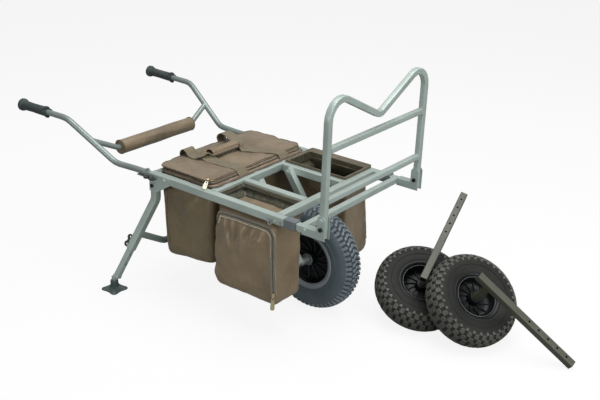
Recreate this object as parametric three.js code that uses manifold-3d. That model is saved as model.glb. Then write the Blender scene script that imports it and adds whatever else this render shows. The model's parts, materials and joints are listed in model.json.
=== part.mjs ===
// Fishing trolley: a barrow of square tube on one front wheel and two rear legs, with two long
// handles, a folding front hoop, fabric bags in its bays and a pair of spare wheels beside it.
// Sizes are in millimetres. +X points to the front wheel, +Y to the far side and +Z up.
// Until the last lines x = 0 is the front face of the front crossbar, y = 0 the centre plane
// and z = 0 the top of the deck.
import * as THREE from "three";
import { mergeVertices } from "three/addons/utils/BufferGeometryUtils.js";
import Module from "manifold-3d";

const wasm = await Module();
wasm.setup();

// Clearances and allowances shared by all pieces
const seatGap = 0.3;
const slideGap = 0.5;
const weldDepth = 1;
const cutOverrun = 2;
const mergeDistance = 0.001;

// Facets
const cornerSteps = 1;
const bendStep = Math.PI / 10;
const tubeSides = 14;
const boreSides = 8;
const pinSides = 8;
const boltSides = 6;
const footSides = 20;
const barrelSides = 24;

// Deck of square tube
const deckWidth = 560;
const railSize = 27;
const railWall = 2;
const railCorner = 3;
const railFrontReach = 22;
const frontBayLength = 255;
const rearBayLength = 230;
const centreBayWidth = 182;

// Plastic sleeves on the front ends of the rails
const sleeveSize = 32;
const sleeveLength = 44.7;
const sleeveCorner = 4;

// Thin steel plate used for gussets, brackets, catches and clips
const plateThickness = 3;

// Bolts and bores
const boltRadius = 4;
const boltHeadRadius = 7.5;
const boltHeadHeight = 5;
const knobScrewRadius = 3;
const boreGap = 0.4;

// Front wheel
const tyreRadius = 188;
const tyreHalfWidth = 44;
const rimRadius = 98;
const axleBehindFront = 62;
const axleDepth = 260;
const axleRadius = 8;
const frontTyre = { radius: tyreRadius, halfWidth: tyreHalfWidth, lugDepth: 6, steps: 42 };
const frontRim = { radius: rimRadius, lip: 8, lipWidth: 4, halfWidth: 42, barrelWall: 4, hubRadius: 22, hubHalf: 35 };
const rimSpokes = { count: 14, width: 8, thickness: 13, sweep: Math.PI / 7, points: 3 };

// Fork arms that carry the front axle
const forkSize = 24;
const forkWall = 2;
const forkTopBehindFront = 245;
const forkTopDepth = 3;
const forkEndSolid = 30;
const axleSpacerRadius = 12;
const axleNutHeight = 8;
const axleEnd = 3;

// Front catches on the rails
const catchLength = 52;
const catchFrontReach = 10;
const catchHeight = 13;
const catchDepth = 12;
const catchEye = { radius: 9, hole: 4.5, behindFront: 32, depth: 26 };
const catchScrew = { radius: 5, height: 2.5, behindFront: 14, depth: 18 };

// Front extension that slides in the rails
const extensionTubeSize = 22;
const extensionWall = 2;
const extensionCorner = 3;
const extensionInside = 150;
const extensionReach = 74.6;
const extensionBarSize = 21;

// Hoop brackets on the extension
const bracketHeight = 26;
const earWidth = 30;
const earTop = 38;
const bracketBolt = { ahead: 10, depth: 11 };
const hoopPivotAhead = 69.1;
const hoopPivotHeight = 9;

// Hoop
const hoopTubeSize = 21;
const hoopWall = 2;
const hoopCorner = 4;
const hoopFoot = 22;
const hoopApexHeight = 438.7;
const hoopValleyHeight = 305;
const hoopApexBend = 60;
const hoopValleyBend = 35;
const hoopBarSize = 19.5;
const hoopBarHeights = [94, 256.5];

// Handles
const handleRadius = 11;
const handleWall = 2;
const handleInside = 156;
const handleTailReach = 79;
const handleRise = { behindRear: 176, out: 8.5, z: -14 };
const handleTop = { behindRear: 379, out: 49.5, z: 115.5 };
const handleEnd = { behindRear: 624, out: 57.5, z: 117 };
const handleBends = [150, 65, 70];
const gripLength = 128;
const gripRadius = 17.5;
const gripFlangeRadius = 23;
const gripFlangeLength = 14;
const gripEndWall = 6;
const gripRoundShare = 0.25;
const gripWaist = 1;
const collarRadius = 19;
const collarLobe = 3;
const collarLength = 11;
const collarGap = 5;
const handleBarRadius = 10;
const handleBarWall = 2;
const handleBarAlongShare = 0.5;
const handleBarCorner = { behindRear: 256, out: -76.5, z: 1 };
const handleBarBend = 40;
const padEndGap = 12;
const padRadius = 24.5;
const handleStop = { behindRear: 6, length: 60, width: 24, boltBehind: 18 };

// Legs
const legSize = 26;
const legWall = 2;
const legCorner = 3;
const legPivotAhead = 13;
const legPivotDepth = 46;
const legTopOverPivot = 9;
const legKneeDepth = 100;
const legBend = 45;
const legLength = 212;
const ankle = { behindRear: 94, out: 113.5, height: 28 };
const legBraceRadius = 12;
const legBraceAlongShare = 0.41;
const legBraceCorner = { behindRear: 4, out: -51.5, z: -285 };
const legBraceBend = 50;

// Gussets that carry the legs
const gussetPlan = { rearDepth: 66, frontReach: 98, frontDepth: 25, lowReach: 24, lowDepth: 71, innerReach: 86 };
const gussetTopWeb = { start: 29.5, length: 44.5 };
const gussetStop = { start: 29.5, width: 3, depth: 58 };
const gussetBolt = { ahead: 72, radius: 7 };

// Lower legs and feet
const lowerLegSize = 21;
const lowerLegWall = 2;
const lowerLegCorner = 2.5;
const lowerLegTop = 97;
const lowerLegEnd = 326;
const lowerLegPlug = 8;
const legHole = { radius: 4, pitch: 40, count: 5 };
const ankleTongue = { width: 16, thickness: 10, rise: 24 };
const anklePinRadius = 3.5;
const ankleEar = { radius: 9, thickness: 4 };
const footRadius = 47;
const footEdge = 3;
const footConeTop = { radius: 16, depth: 10 };
const footRib = { count: 8, thickness: 3, rise: 3, innerShare: 0.4, outerShare: 0.86 };

// Wing knobs
const knobHub = { radius: 8, height: 14 };
const knobRelease = 1;
const knobLobe = { radius: 11, hole: 5, thickness: 7, offset: 14, height: 12 };
const railKnobAhead = 14;
const legKnobAboveEnd = 20;

// Main bag and its lid
const bagWall = 6;
const bagCorner = 18;
const mainBag = { gap: 0.4, sideGap: 11, bulge: 12, frontBulge: 7, depth: 288, foot: 16, taper: 8 };
const lidSize = { overhang: 10, frontReach: 16, overRail: 1, lift: 0.5, height: 21.5, crown: 4, corner: 24, edgeShare: 0.2 };

// Pocket bags
const pocketBag = { gap: 0.3, bulge: 23, topDrop: 12, depth: 322, foot: 18, frontBulge: 3, innerBulge: 7, taper: 9 };

// Spare wheels on their arms
const spareTyre = { radius: 160, halfWidth: 48, lugDepth: 4, steps: 30 };
const spareRim = { radius: 78, lip: 7, lipWidth: 4, halfWidth: 44, barrelWall: 4, hubRadius: 20, hubHalf: 34 };
const spareArm = { size: 25, wall: 2, corner: 3, length: 408, behindHub: 52, offset: 124, endHole: 33 };
const spareAxleRadius = 8;
const spareWasher = { radius: 13, height: 4 };
const spareWheelPlaces = {
  left: { ahead: 271.5, insideRail: 87, heading: -43.9, tilt: 60.3, armTurn: 147.8 },
  right: { ahead: 462, insideRail: 83.5, heading: -24.9, tilt: 47.6, armTurn: 29.8 },
};

// Places worked out from the sizes above
const sides = { far: 1, near: -1 };
const railY = (deckWidth - railSize) / 2;
const railZ = -railSize / 2;
const railInnerY = deckWidth / 2 - railSize;
const middleBarX = -railSize - frontBayLength - railSize / 2;
const rearBarX = middleBarX - railSize - rearBayLength;
const deckRear = rearBarX - railSize / 2;
const innerBarY = (centreBayWidth + railSize) / 2;
const floorZ = -axleDepth - tyreRadius;
const plateOuterY = deckWidth / 2 + seatGap + plateThickness / 2;
const extensionBarX = extensionReach + extensionBarSize / 2;
const bracketX = extensionReach + extensionBarSize + seatGap;
const hoopX = extensionReach + extensionBarSize + hoopPivotAhead;
const hoopLegY = (deckWidth - hoopTubeSize) / 2;
const hoopInnerY = deckWidth / 2 - hoopTubeSize;
const legPivotX = deckRear + legPivotAhead;
const ankleZ = floorZ + ankle.height;

// Finishes
const finish = (color, roughness, metalness) => new THREE.MeshStandardMaterial({ color, roughness, metalness });
const paint = finish(0x8a9488, 0.45, 0.5);
const galvanised = finish(0xa8abaa, 0.4, 0.9);
const steel = finish(0x8d8f90, 0.35, 0.95);
const blackPlastic = finish(0x1d1f20, 0.5, 0);
const gripRubber = finish(0x24262a, 0.75, 0);
const tyreRubber = finish(0x3b4347, 0.85, 0);
const brownFabric = finish(0x756755, 0.95, 0);
const oliveFabric = finish(0x6c6150, 0.95, 0);

// Joins and cuts

function closed(geometry) {
  const bare = geometry.clone();
  bare.deleteAttribute("normal");
  bare.deleteAttribute("uv");
  const merged = mergeVertices(bare, mergeDistance);
  const corners = merged.index.array;
  const kept = [];
  for (let first = 0; first < corners.length; first += 3) {
    const [a, b, c] = corners.slice(first, first + 3);
    if (a !== b && b !== c && c !== a) kept.push(a, b, c);
  }
  merged.setIndex(kept);
  return merged;
}

function toSolid(geometry) {
  const { attributes, index } = closed(geometry);
  const vertProperties = Float32Array.from(attributes.position.array);
  return new wasm.Manifold(new wasm.Mesh({ numProp: 3, vertProperties, triVerts: Uint32Array.from(index.array) }));
}

function toGeometry(solid) {
  const mesh = solid.getMesh();
  const geometry = new THREE.BufferGeometry();
  geometry.setAttribute("position", new THREE.BufferAttribute(mesh.vertProperties, mesh.numProp));
  geometry.setIndex(new THREE.BufferAttribute(mesh.triVerts, 1));
  return geometry;
}

const weld = (...pieces) => toGeometry(pieces.map(toSolid).reduce((whole, piece) => whole.add(piece)));
const cut = (body, ...tools) => toGeometry(tools.map(toSolid).reduce((rest, tool) => rest.subtract(tool), toSolid(body)));

// A tube's centre line: straight runs joined by round bends
class TubeRoute extends THREE.Curve {
  constructor(corners, bendRadii, across) {
    super();
    this.stations = [];
    const last = corners.length - 1;
    const heading = (from) => corners[from + 1].clone().sub(corners[from]).normalize();
    this.stations.push({ point: corners[0], tangent: heading(0) });
    for (let turn = 1; turn < last; turn += 1) {
      this.addBend(corners[turn], heading(turn - 1), heading(turn), bendRadii[turn - 1]);
    }
    this.stations.push({ point: corners[last], tangent: heading(last - 1) });
    let normal = across;
    this.stations.forEach((station, place) => {
      const before = this.stations[Math.max(place - 1, 0)].tangent;
      const turn = new THREE.Quaternion().setFromUnitVectors(before, station.tangent);
      normal = normal.clone().applyQuaternion(turn);
      normal.addScaledVector(station.tangent, -normal.dot(station.tangent)).normalize();
      station.normal = normal;
    });
  }

  addBend(corner, incoming, outgoing, radius) {
    const turn = incoming.angleTo(outgoing);
    const steps = Math.max(1, Math.ceil(turn / bendStep));
    const start = corner.clone().addScaledVector(incoming, -radius * Math.tan(turn / 2));
    const inward = outgoing.clone().addScaledVector(incoming, -Math.cos(turn)).normalize();
    for (let step = 0; step <= steps; step += 1) {
      const angle = (turn * step) / steps;
      const point = start.clone().addScaledVector(incoming, radius * Math.sin(angle));
      point.addScaledVector(inward, radius * (1 - Math.cos(angle)));
      const tangent = incoming.clone().multiplyScalar(Math.cos(angle)).addScaledVector(inward, Math.sin(angle));
      this.stations.push({ point, tangent });
    }
  }

  get end() {
    return this.stations[this.stations.length - 1];
  }

  getSpacedPoints() {
    return this.stations.map((station) => station.point);
  }

  computeFrenetFrames() {
    const tangents = this.stations.map((station) => station.tangent);
    const normals = this.stations.map((station) => station.normal);
    return { tangents, normals, binormals: tangents.map((tangent, place) => tangent.clone().cross(normals[place])) };
  }
}

// Sections, plates and bars

const at = (x, y, z) => new THREE.Vector3(x, y, z);
const xAxis = at(1, 0, 0);
const yAxis = at(0, 1, 0);
const zAxis = at(0, 0, 1);

function traceSquare(path, half, corner) {
  const inner = half - corner;
  const quarter = Math.PI / 2;
  [[1, 1], [-1, 1], [-1, -1], [1, -1]].forEach(([x, y], turn) => {
    path.absarc(x * inner, y * inner, corner, turn * quarter, (turn + 1) * quarter, false);
  });
}

function squareSection(size, corner, wall) {
  const shape = new THREE.Shape();
  traceSquare(shape, size / 2, corner);
  if (wall) {
    const bore = new THREE.Path();
    traceSquare(bore, size / 2 - wall, 0);
    shape.holes.push(bore);
  }
  return shape;
}

function circlePoints(radius, count) {
  return Array.from({ length: count }, (_, step) => {
    const angle = (2 * Math.PI * step) / count;
    return new THREE.Vector2(radius * Math.cos(angle), radius * Math.sin(angle));
  });
}

function roundSection(radius, wall, boreCount = boreSides) {
  const shape = new THREE.Shape(circlePoints(radius, tubeSides));
  if (wall) shape.holes.push(new THREE.Path(circlePoints(radius - wall, boreCount)));
  return shape;
}

function sweep(section, route) {
  const steps = route.stations.length - 1;
  return new THREE.ExtrudeGeometry(section, { steps, extrudePath: route, curveSegments: cornerSteps });
}

const straight = (section, from, to, across) => sweep(section, new TubeRoute([from, to], [], across));

function block([x0, x1], [y0, y1], [z0, z1]) {
  const box = new THREE.BoxGeometry(Math.abs(x1 - x0), Math.abs(y1 - y0), Math.abs(z1 - z0));
  return box.translate((x0 + x1) / 2, (y0 + y1) / 2, (z0 + z1) / 2);
}

function rod(from, to, radius, sidesAround = pinSides) {
  const along = to.clone().sub(from);
  const cylinder = new THREE.CylinderGeometry(radius, radius, along.length(), sidesAround);
  cylinder.applyQuaternion(new THREE.Quaternion().setFromUnitVectors(yAxis, along.normalize()));
  return cylinder.translate((from.x + to.x) / 2, (from.y + to.y) / 2, (from.z + to.z) / 2);
}

const crossRod = (x, z, y0, y1, radius, around = pinSides) => rod(at(x, y0, z), at(x, y1, z), radius, around);

// A plate across the Y axis; the outline is given in x and z
function plate(outline, y, thickness) {
  const shape = new THREE.Shape(outline.map(([x, z]) => new THREE.Vector2(x, z)));
  const slab = new THREE.ExtrudeGeometry(shape, { depth: thickness, bevelEnabled: false });
  return slab.rotateX(Math.PI / 2).translate(0, y + thickness / 2, 0);
}

function arcPoints(x, z, radius, startAngle, endAngle, steps = 6) {
  return Array.from({ length: steps + 1 }, (_, step) => {
    const angle = startAngle + ((endAngle - startAngle) * step) / steps;
    return [x + radius * Math.cos(angle), z + radius * Math.sin(angle)];
  });
}

// The object and its pieces

const trolley = new THREE.Group();

function add(name, geometry, material, parent = trolley) {
  const mesh = new THREE.Mesh(geometry, material);
  mesh.name = name;
  parent.add(mesh);
  return mesh;
}

function onBothSides(build) {
  for (const [name, side] of Object.entries(sides)) build(name, side);
}

// Deck

function addRails() {
  const section = squareSection(railSize, railCorner, railWall);
  const knobX = deckRear + railKnobAhead;
  onBothSides((name, side) => {
    const tube = straight(section, at(deckRear, side * railY, railZ), at(railFrontReach, side * railY, railZ), yAxis);
    const screwHole = crossRod(knobX, railZ, side * railY, side * (deckWidth / 2 + cutOverrun), knobScrewRadius + boreGap);
    add(`rail_${name}`, cut(tube, screwHole), paint);
  });
}

function addCrossbars() {
  const section = squareSection(railSize, railCorner, railWall);
  const half = railInnerY - seatGap;
  const places = { front: -railSize / 2, middle: middleBarX, rear: rearBarX };
  for (const [name, x] of Object.entries(places)) {
    add(`crossbar_${name}`, straight(section, at(x, -half, railZ), at(x, half, railZ), xAxis), paint);
  }
}

function addInnerBars() {
  const section = squareSection(railSize, railCorner, railWall);
  const rear = middleBarX + railSize / 2 + seatGap;
  const front = -railSize - seatGap;
  onBothSides((name, side) => {
    const bar = straight(section, at(rear, side * innerBarY, railZ), at(front, side * innerBarY, railZ), yAxis);
    add(`inner_bar_${name}`, bar, paint);
  });
}

function addRailSleeves() {
  const wall = (sleeveSize - extensionTubeSize) / 2 - seatGap;
  const section = squareSection(sleeveSize, sleeveCorner, wall);
  const rear = railFrontReach + seatGap;
  onBothSides((name, side) => {
    const from = at(rear, side * railY, railZ);
    const to = at(rear + sleeveLength, side * railY, railZ);
    add(`rail_sleeve_${name}`, straight(section, from, to, yAxis), blackPlastic);
  });
}

function addRailCatches() {
  const top = -catchDepth;
  const bottom = top - catchHeight;
  const rear = catchFrontReach - catchLength;
  onBothSides((name, side) => {
    const y = side * plateOuterY;
    const outerFace = side * (deckWidth / 2 + seatGap + plateThickness);
    const outline = [[rear, bottom], [catchFrontReach, bottom], [catchFrontReach, top], [rear, top]];
    const strip = plate(outline, y, plateThickness);
    const { radius, hole, behindFront, depth } = catchEye;
    const half = plateThickness / 2;
    const eye = crossRod(-behindFront, -depth, y - half, y + half, radius);
    const head = outerFace + side * catchScrew.height;
    const screw = crossRod(-catchScrew.behindFront, -catchScrew.depth, y, head, catchScrew.radius);
    const eyeHole = crossRod(-behindFront, -depth, y - cutOverrun, y + cutOverrun, hole);
    add(`rail_catch_${name}`, cut(weld(strip, eye, screw), eyeHole), galvanised);
  });
}

// Front wheel and fork

// A tyre about the Y axis: beads seated between the rim's lips, smooth walls, and tread blocks
// staggered from row to row
function tyreGeometry({ radius, halfWidth, lugDepth, steps }, rim, blockSteps) {
  const flat = Math.cos(Math.PI / steps);
  const inner = (rim.radius + seatGap) / flat;
  const overLip = (rim.radius + rim.lip + seatGap) / flat;
  const beadY = rim.halfWidth - rim.lipWidth - seatGap;
  const height = radius - lugDepth - inner;
  const wallShares = [[1, 0.46], [0.95, 0.72], [0.86, 0.85]];
  const crownShares = [[0.84, 0.88], [0.56, 0.96], [0.2, 1]];
  const nearHalf = [
    { y: beadY, r: inner, row: -1 },
    { y: beadY, r: overLip, row: -1 },
    ...wallShares.map(([across, up]) => ({ y: across * halfWidth, r: inner + up * height, row: -1 })),
    ...crownShares.map(([across, up], row) => ({ y: across * halfWidth, r: inner + up * height, row })),
  ];
  const rows = crownShares.length * 2;
  const farHalf = nearHalf.map(({ y, r, row }) => ({ y: -y, r, row: row < 0 ? -1 : rows - 1 - row }));
  const profile = [...nearHalf, ...farHalf.reverse()];
  const positions = [];
  for (let step = 0; step < steps; step += 1) {
    const angle = (2 * Math.PI * step) / steps;
    for (const { y, r, row } of profile) {
      const raised = row >= 0 && (step + row) % blockSteps !== 0;
      const reach = raised ? Math.min(r + lugDepth, radius) : r;
      positions.push(reach * Math.sin(angle), y, reach * Math.cos(angle));
    }
  }
  const index = [];
  const around = profile.length;
  for (let step = 0; step < steps; step += 1) {
    const next = (step + 1) % steps;
    for (let point = 0; point < around; point += 1) {
      const after = (point + 1) % around;
      const [a, b] = [step * around + point, step * around + after];
      const [c, d] = [next * around + point, next * around + after];
      index.push(a, b, c, b, d, c);
    }
  }
  const geometry = new THREE.BufferGeometry();
  geometry.setAttribute("position", new THREE.Float32BufferAttribute(positions, 3));
  geometry.setIndex(index);
  return geometry;
}

// One curved spoke from the hub to the barrel, drawn across the Y axis
function spokeGeometry({ radius, barrelWall, hubRadius }, turn) {
  const { width, thickness, sweep: lean, points } = rimSpokes;
  const start = hubRadius - weldDepth;
  const end = radius - barrelWall + weldDepth;
  const edge = (side) => Array.from({ length: points }, (_, step) => {
    const share = step / (points - 1);
    const reach = start + (end - start) * share;
    const angle = turn + lean * share * share + (side * width) / 2 / reach;
    return [reach * Math.cos(angle), reach * Math.sin(angle)];
  });
  return plate([...edge(-1), ...edge(1).reverse()], 0, thickness);
}

// A rim about the Y axis: a barrel between two lips, curved spokes and a bored hub
function rimGeometry(rim, boreRadius) {
  const { radius, lip, lipWidth, halfWidth, barrelWall, hubRadius, hubHalf } = rim;
  const inside = radius - barrelWall;
  const half = [[inside, halfWidth], [radius + lip, halfWidth], [radius + lip, halfWidth - lipWidth]];
  half.push([radius, halfWidth - lipWidth]);
  const loop = [...half, ...half.map(([r, y]) => [r, -y]).reverse()];
  loop.push(loop[0]);
  const barrel = new THREE.LatheGeometry(loop.map(([r, y]) => new THREE.Vector2(r, y)).reverse(), barrelSides);
  const hub = crossRod(0, 0, -hubHalf, hubHalf, hubRadius, tubeSides);
  const pitch = (2 * Math.PI) / rimSpokes.count;
  const spokes = Array.from({ length: rimSpokes.count }, (_, step) => spokeGeometry(rim, step * pitch));
  const reach = hubHalf + cutOverrun;
  return cut(weld(barrel, hub, ...spokes), crossRod(0, 0, -reach, reach, boreRadius, tubeSides));
}

function addFrontWheel() {
  const wheel = new THREE.Group();
  wheel.position.set(-axleBehindFront, 0, -axleDepth);
  add("front_tyre", tyreGeometry(frontTyre, frontRim, 3), tyreRubber, wheel);
  add("front_rim", rimGeometry(frontRim, axleRadius + boreGap), blackPlastic, wheel);
  trolley.add(wheel);
}

const forkY = centreBayWidth / 2 - seatGap - forkSize / 2;

function addForkArms() {
  const top = at(-forkTopBehindFront, 0, -forkTopDepth);
  const eye = at(-axleBehindFront, 0, -axleDepth);
  const along = eye.clone().sub(top).normalize();
  const normal = at(-along.z, 0, along.x);
  const half = forkSize / 2;
  const slope = Math.atan2(normal.z, normal.x);
  const topCorners = [1, -1].map((side) => [top.x + side * half * normal.x, top.z + side * half * normal.z]);
  const rounded = arcPoints(eye.x, eye.z, half, slope - Math.PI, slope - 2 * Math.PI, tubeSides / 2);
  const inner = new THREE.Shape();
  traceSquare(inner, half - forkWall, 0);
  const boreEnd = eye.clone().addScaledVector(along, -forkEndSolid);
  const boreStart = top.clone().addScaledVector(along, -cutOverrun);
  onBothSides((name, side) => {
    const y = side * forkY;
    const solid = plate([...topCorners.slice(1), ...rounded, ...topCorners.slice(0, 1)], y, forkSize);
    const level = at(0, y, 0);
    const bore = straight(inner, boreStart.clone().add(level), boreEnd.clone().add(level), yAxis);
    const axleBore = crossRod(eye.x, eye.z, y - forkSize, y + forkSize, axleRadius + boreGap, tubeSides);
    const headFrom = y - side * (half - weldDepth);
    const head = crossRod(top.x + boltHeadRadius, railZ, headFrom, headFrom - side * (boltHeadHeight + weldDepth),
      boltHeadRadius, boltSides);
    add(`fork_arm_${name}`, weld(cut(solid, bore, axleBore), head), paint);
  });
}

function addWheelAxle() {
  const nutFrom = forkY + forkSize / 2 + seatGap;
  const end = nutFrom + axleNutHeight + axleEnd;
  const spacerTo = forkY - forkSize / 2 - seatGap;
  const spacerFrom = frontRim.hubHalf + seatGap;
  const shaft = crossRod(-axleBehindFront, -axleDepth, -end, end, axleRadius, tubeSides);
  const fittings = [];
  for (const side of Object.values(sides)) {
    const [nutStart, nutEnd] = [side * nutFrom, side * (nutFrom + axleNutHeight)];
    fittings.push(crossRod(-axleBehindFront, -axleDepth, nutStart, nutEnd, boltHeadRadius + boltRadius + weldDepth, boltSides));
    const [spacerStart, spacerEnd] = [side * spacerFrom, side * spacerTo];
    fittings.push(crossRod(-axleBehindFront, -axleDepth, spacerStart, spacerEnd, axleSpacerRadius, tubeSides));
  }
  add("wheel_axle", weld(shaft, ...fittings), steel);
}

// Extension and hoop

function addExtension() {
  const tube = squareSection(extensionTubeSize, extensionCorner, extensionWall);
  const bar = squareSection(extensionBarSize, extensionCorner, 0);
  const half = deckWidth / 2;
  const pieces = Object.values(sides).map((side) => {
    const y = side * railY;
    return straight(tube, at(-extensionInside, y, railZ), at(extensionReach + weldDepth, y, railZ), yAxis);
  });
  pieces.push(straight(bar, at(extensionBarX, -half, railZ), at(extensionBarX, half, railZ), xAxis));
  add("extension_frame", weld(...pieces), paint);
}

const bracketTop = railZ + bracketHeight / 2 - weldDepth / 2;
const bracketBottom = bracketTop - bracketHeight;
const bracketInnerY = hoopInnerY - seatGap - plateThickness / 2;

function addHoopBrackets() {
  const armEnd = hoopX - earWidth / 2;
  const earEnd = hoopX + earWidth / 2;
  const round = arcPoints(hoopX, earTop, earWidth / 2, 0, Math.PI, tubeSides / 2);
  const outline = [[bracketX, bracketBottom], [earEnd, bracketBottom], ...round, [armEnd, bracketTop], [bracketX, bracketTop]];
  const flangeEnd = bracketX + plateThickness;
  onBothSides((name, side) => {
    const [outer, inner] = [side * plateOuterY, side * bracketInnerY];
    const edge = side * (plateThickness / 2);
    const across = [inner - edge, outer + edge];
    const flange = block([bracketX, flangeEnd], across, [bracketBottom, bracketTop]);
    const web = block([bracketX, armEnd - cutOverrun], across, [bracketTop - plateThickness, bracketTop]);
    const headY = outer + edge + side * boltHeadHeight;
    const bolt = crossRod(bracketX + bracketBolt.ahead, -bracketBolt.depth, outer, headY, boltHeadRadius, boltSides);
    const clamp = crossRod(hoopX, earTop, outer, headY, boltHeadRadius, boltSides);
    const solid = weld(plate(outline, outer, plateThickness), plate(outline, inner, plateThickness), flange, web, bolt, clamp);
    const bore = crossRod(hoopX, hoopPivotHeight, inner - side * cutOverrun, outer + side * cutOverrun, boltRadius + boreGap);
    add(`hoop_bracket_${name}`, cut(solid, bore), galvanised);
  });
}

function addHoopPivotBolts() {
  onBothSides((name, side) => {
    const headFrom = side * (plateOuterY + plateThickness / 2 + seatGap);
    const nutFrom = side * (bracketInnerY - plateThickness / 2 - seatGap);
    const shank = crossRod(hoopX, hoopPivotHeight, nutFrom - side * boltHeadHeight, headFrom + side * weldDepth, boltRadius);
    const head = crossRod(hoopX, hoopPivotHeight, headFrom, headFrom + side * boltHeadHeight, boltHeadRadius, boltSides);
    const nut = crossRod(hoopX, hoopPivotHeight, nutFrom - side * boltHeadHeight, nutFrom, boltHeadRadius, boltSides);
    add(`hoop_pivot_bolt_${name}`, weld(shank, head, nut), steel);
  });
}

function addHoop() {
  const corners = [
    at(hoopX, -hoopLegY, -hoopFoot),
    at(hoopX, -hoopLegY, hoopApexHeight),
    at(hoopX, 0, hoopValleyHeight),
    at(hoopX, hoopLegY, hoopApexHeight),
    at(hoopX, hoopLegY, -hoopFoot),
  ];
  const bends = [hoopApexBend, hoopValleyBend, hoopApexBend];
  const tube = sweep(squareSection(hoopTubeSize, hoopCorner, hoopWall), new TubeRoute(corners, bends, xAxis));
  const reach = deckWidth / 2 + cutOverrun;
  const bore = crossRod(hoopX, hoopPivotHeight, -reach, reach, boltRadius + boreGap);
  add("hoop_tube", cut(tube, bore), paint);
  const bar = squareSection(hoopBarSize, hoopCorner, hoopWall);
  const half = hoopInnerY - seatGap;
  ["lower", "upper"].forEach((name, place) => {
    const z = hoopBarHeights[place];
    add(`hoop_crossbar_${name}`, straight(bar, at(hoopX, -half, z), at(hoopX, half, z), xAxis), paint);
  });
}

// Handles

// A place behind the deck, outwards from the rail's middle
const behind = ({ behindRear, out, z }, side) => at(deckRear - behindRear, side * (railY + out), z);

function handleRoute(side, trimmed = 0) {
  const end = behind(handleEnd, side);
  const run = end.clone().sub(behind(handleTop, side)).normalize();
  const corners = [
    at(deckRear + handleInside, side * railY, railZ),
    at(deckRear - handleTailReach, side * railY, railZ),
    behind(handleRise, side),
    behind(handleTop, side),
    end.addScaledVector(run, -trimmed),
  ];
  return new TubeRoute(corners, handleBends, yAxis);
}

function addHandleTubes() {
  onBothSides((name, side) => {
    const tube = sweep(roundSection(handleRadius, handleWall), handleRoute(side, gripEndWall + seatGap));
    const x = deckRear - handleStop.behindRear - handleStop.boltBehind;
    const hole = rod(at(x, side * railY, railZ - railSize), at(x, side * railY, railZ + railSize), knobScrewRadius + boreGap);
    add(`handle_tube_${name}`, cut(tube, hole), paint);
  });
}

// A group whose Y axis runs along the handle's last straight, outwards from its end
function gripGroup(side) {
  const { point, tangent } = handleRoute(side).end;
  const group = new THREE.Group();
  group.position.copy(point);
  group.quaternion.setFromUnitVectors(yAxis, tangent);
  trolley.add(group);
  return group;
}

function addGrips() {
  const bore = handleRadius + seatGap;
  const closedEnd = -gripEndWall;
  const flangeStart = -gripFlangeLength;
  const waist = gripRadius - gripWaist;
  const round = gripFlangeLength * gripRoundShare;
  const profile = [
    [0, closedEnd], [bore, closedEnd], [bore, -gripLength], [gripRadius, -gripLength],
    [waist, -gripLength / 2], [gripRadius, flangeStart - round], [gripFlangeRadius, flangeStart],
    [gripFlangeRadius, -round], [gripFlangeRadius - round, 0], [0, 0],
  ];
  onBothSides((name, side) => {
    const grip = new THREE.LatheGeometry(profile.map(([r, y]) => new THREE.Vector2(r, y)), tubeSides);
    add(`grip_${name}`, closed(grip), gripRubber, gripGroup(side));
  });
}

function addGripCollars() {
  const lobes = 4;
  const shape = new THREE.Shape(Array.from({ length: 2 * tubeSides }, (_, step) => {
    const angle = (Math.PI * step) / tubeSides;
    const reach = collarRadius + collarLobe * Math.cos(lobes * angle);
    return new THREE.Vector2(reach * Math.cos(angle), reach * Math.sin(angle));
  }));
  shape.holes.push(new THREE.Path(circlePoints(handleRadius + seatGap, tubeSides)));
  onBothSides((name, side) => {
    const ring = new THREE.ExtrudeGeometry(shape, { depth: collarLength, bevelEnabled: false });
    ring.rotateX(Math.PI / 2).translate(0, -gripLength - collarGap, 0);
    add(`grip_collar_${name}`, closed(ring), blackPlastic, gripGroup(side));
  });
}

function handleBarRoute() {
  const ends = Object.values(sides).map((side) => {
    const [rise, top] = [behind(handleRise, side), behind(handleTop, side)];
    return [rise.lerp(top, handleBarAlongShare), behind(handleBarCorner, side)];
  });
  const [[farEnd, farCorner], [nearEnd, nearCorner]] = ends;
  return new TubeRoute([nearEnd, nearCorner, farCorner, farEnd], [handleBarBend, handleBarBend], zAxis);
}

function addHandleCrossbar() {
  const bar = sweep(roundSection(handleBarRadius, handleBarWall), handleBarRoute());
  const tubes = Object.values(sides).map((side) => sweep(roundSection(handleRadius + seatGap), handleRoute(side)));
  add("handle_crossbar", cut(bar, ...tubes), paint);
}

function addHandlePad() {
  const { x, y, z } = behind(handleBarCorner, sides.far);
  const wall = padRadius - handleBarRadius - seatGap;
  const half = y - padEndGap;
  const pad = straight(roundSection(padRadius, wall, tubeSides), at(x, -half, z), at(x, half, z), zAxis);
  add("handle_pad", pad, brownFabric);
}

function addHandleStops() {
  const { behindRear, length, width, boltBehind } = handleStop;
  const front = deckRear - behindRear;
  const bottom = railZ - handleRadius - seatGap;
  const top = railZ + handleRadius + seatGap;
  onBothSides((name, side) => {
    const y = side * railY;
    const x = front - boltBehind;
    const strip = block([front - length, front], [y - width / 2, y + width / 2], [bottom - plateThickness, bottom]);
    const shank = rod(at(x, y, bottom - plateThickness / 2), at(x, y, top + weldDepth), knobScrewRadius);
    const head = rod(at(x, y, top), at(x, y, top + boltHeadHeight - weldDepth), boltHeadRadius, boltSides);
    add(`handle_stop_${name}`, weld(strip, shank, head), galvanised);
  });
}

// Legs

function kneePoint(side) {
  return at(legPivotX, side * railY, -legKneeDepth);
}

function anklePoint(side) {
  return behind({ ...ankle, z: ankleZ }, side);
}

const kneeToAnkle = (side) => anklePoint(side).sub(kneePoint(side));

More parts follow.
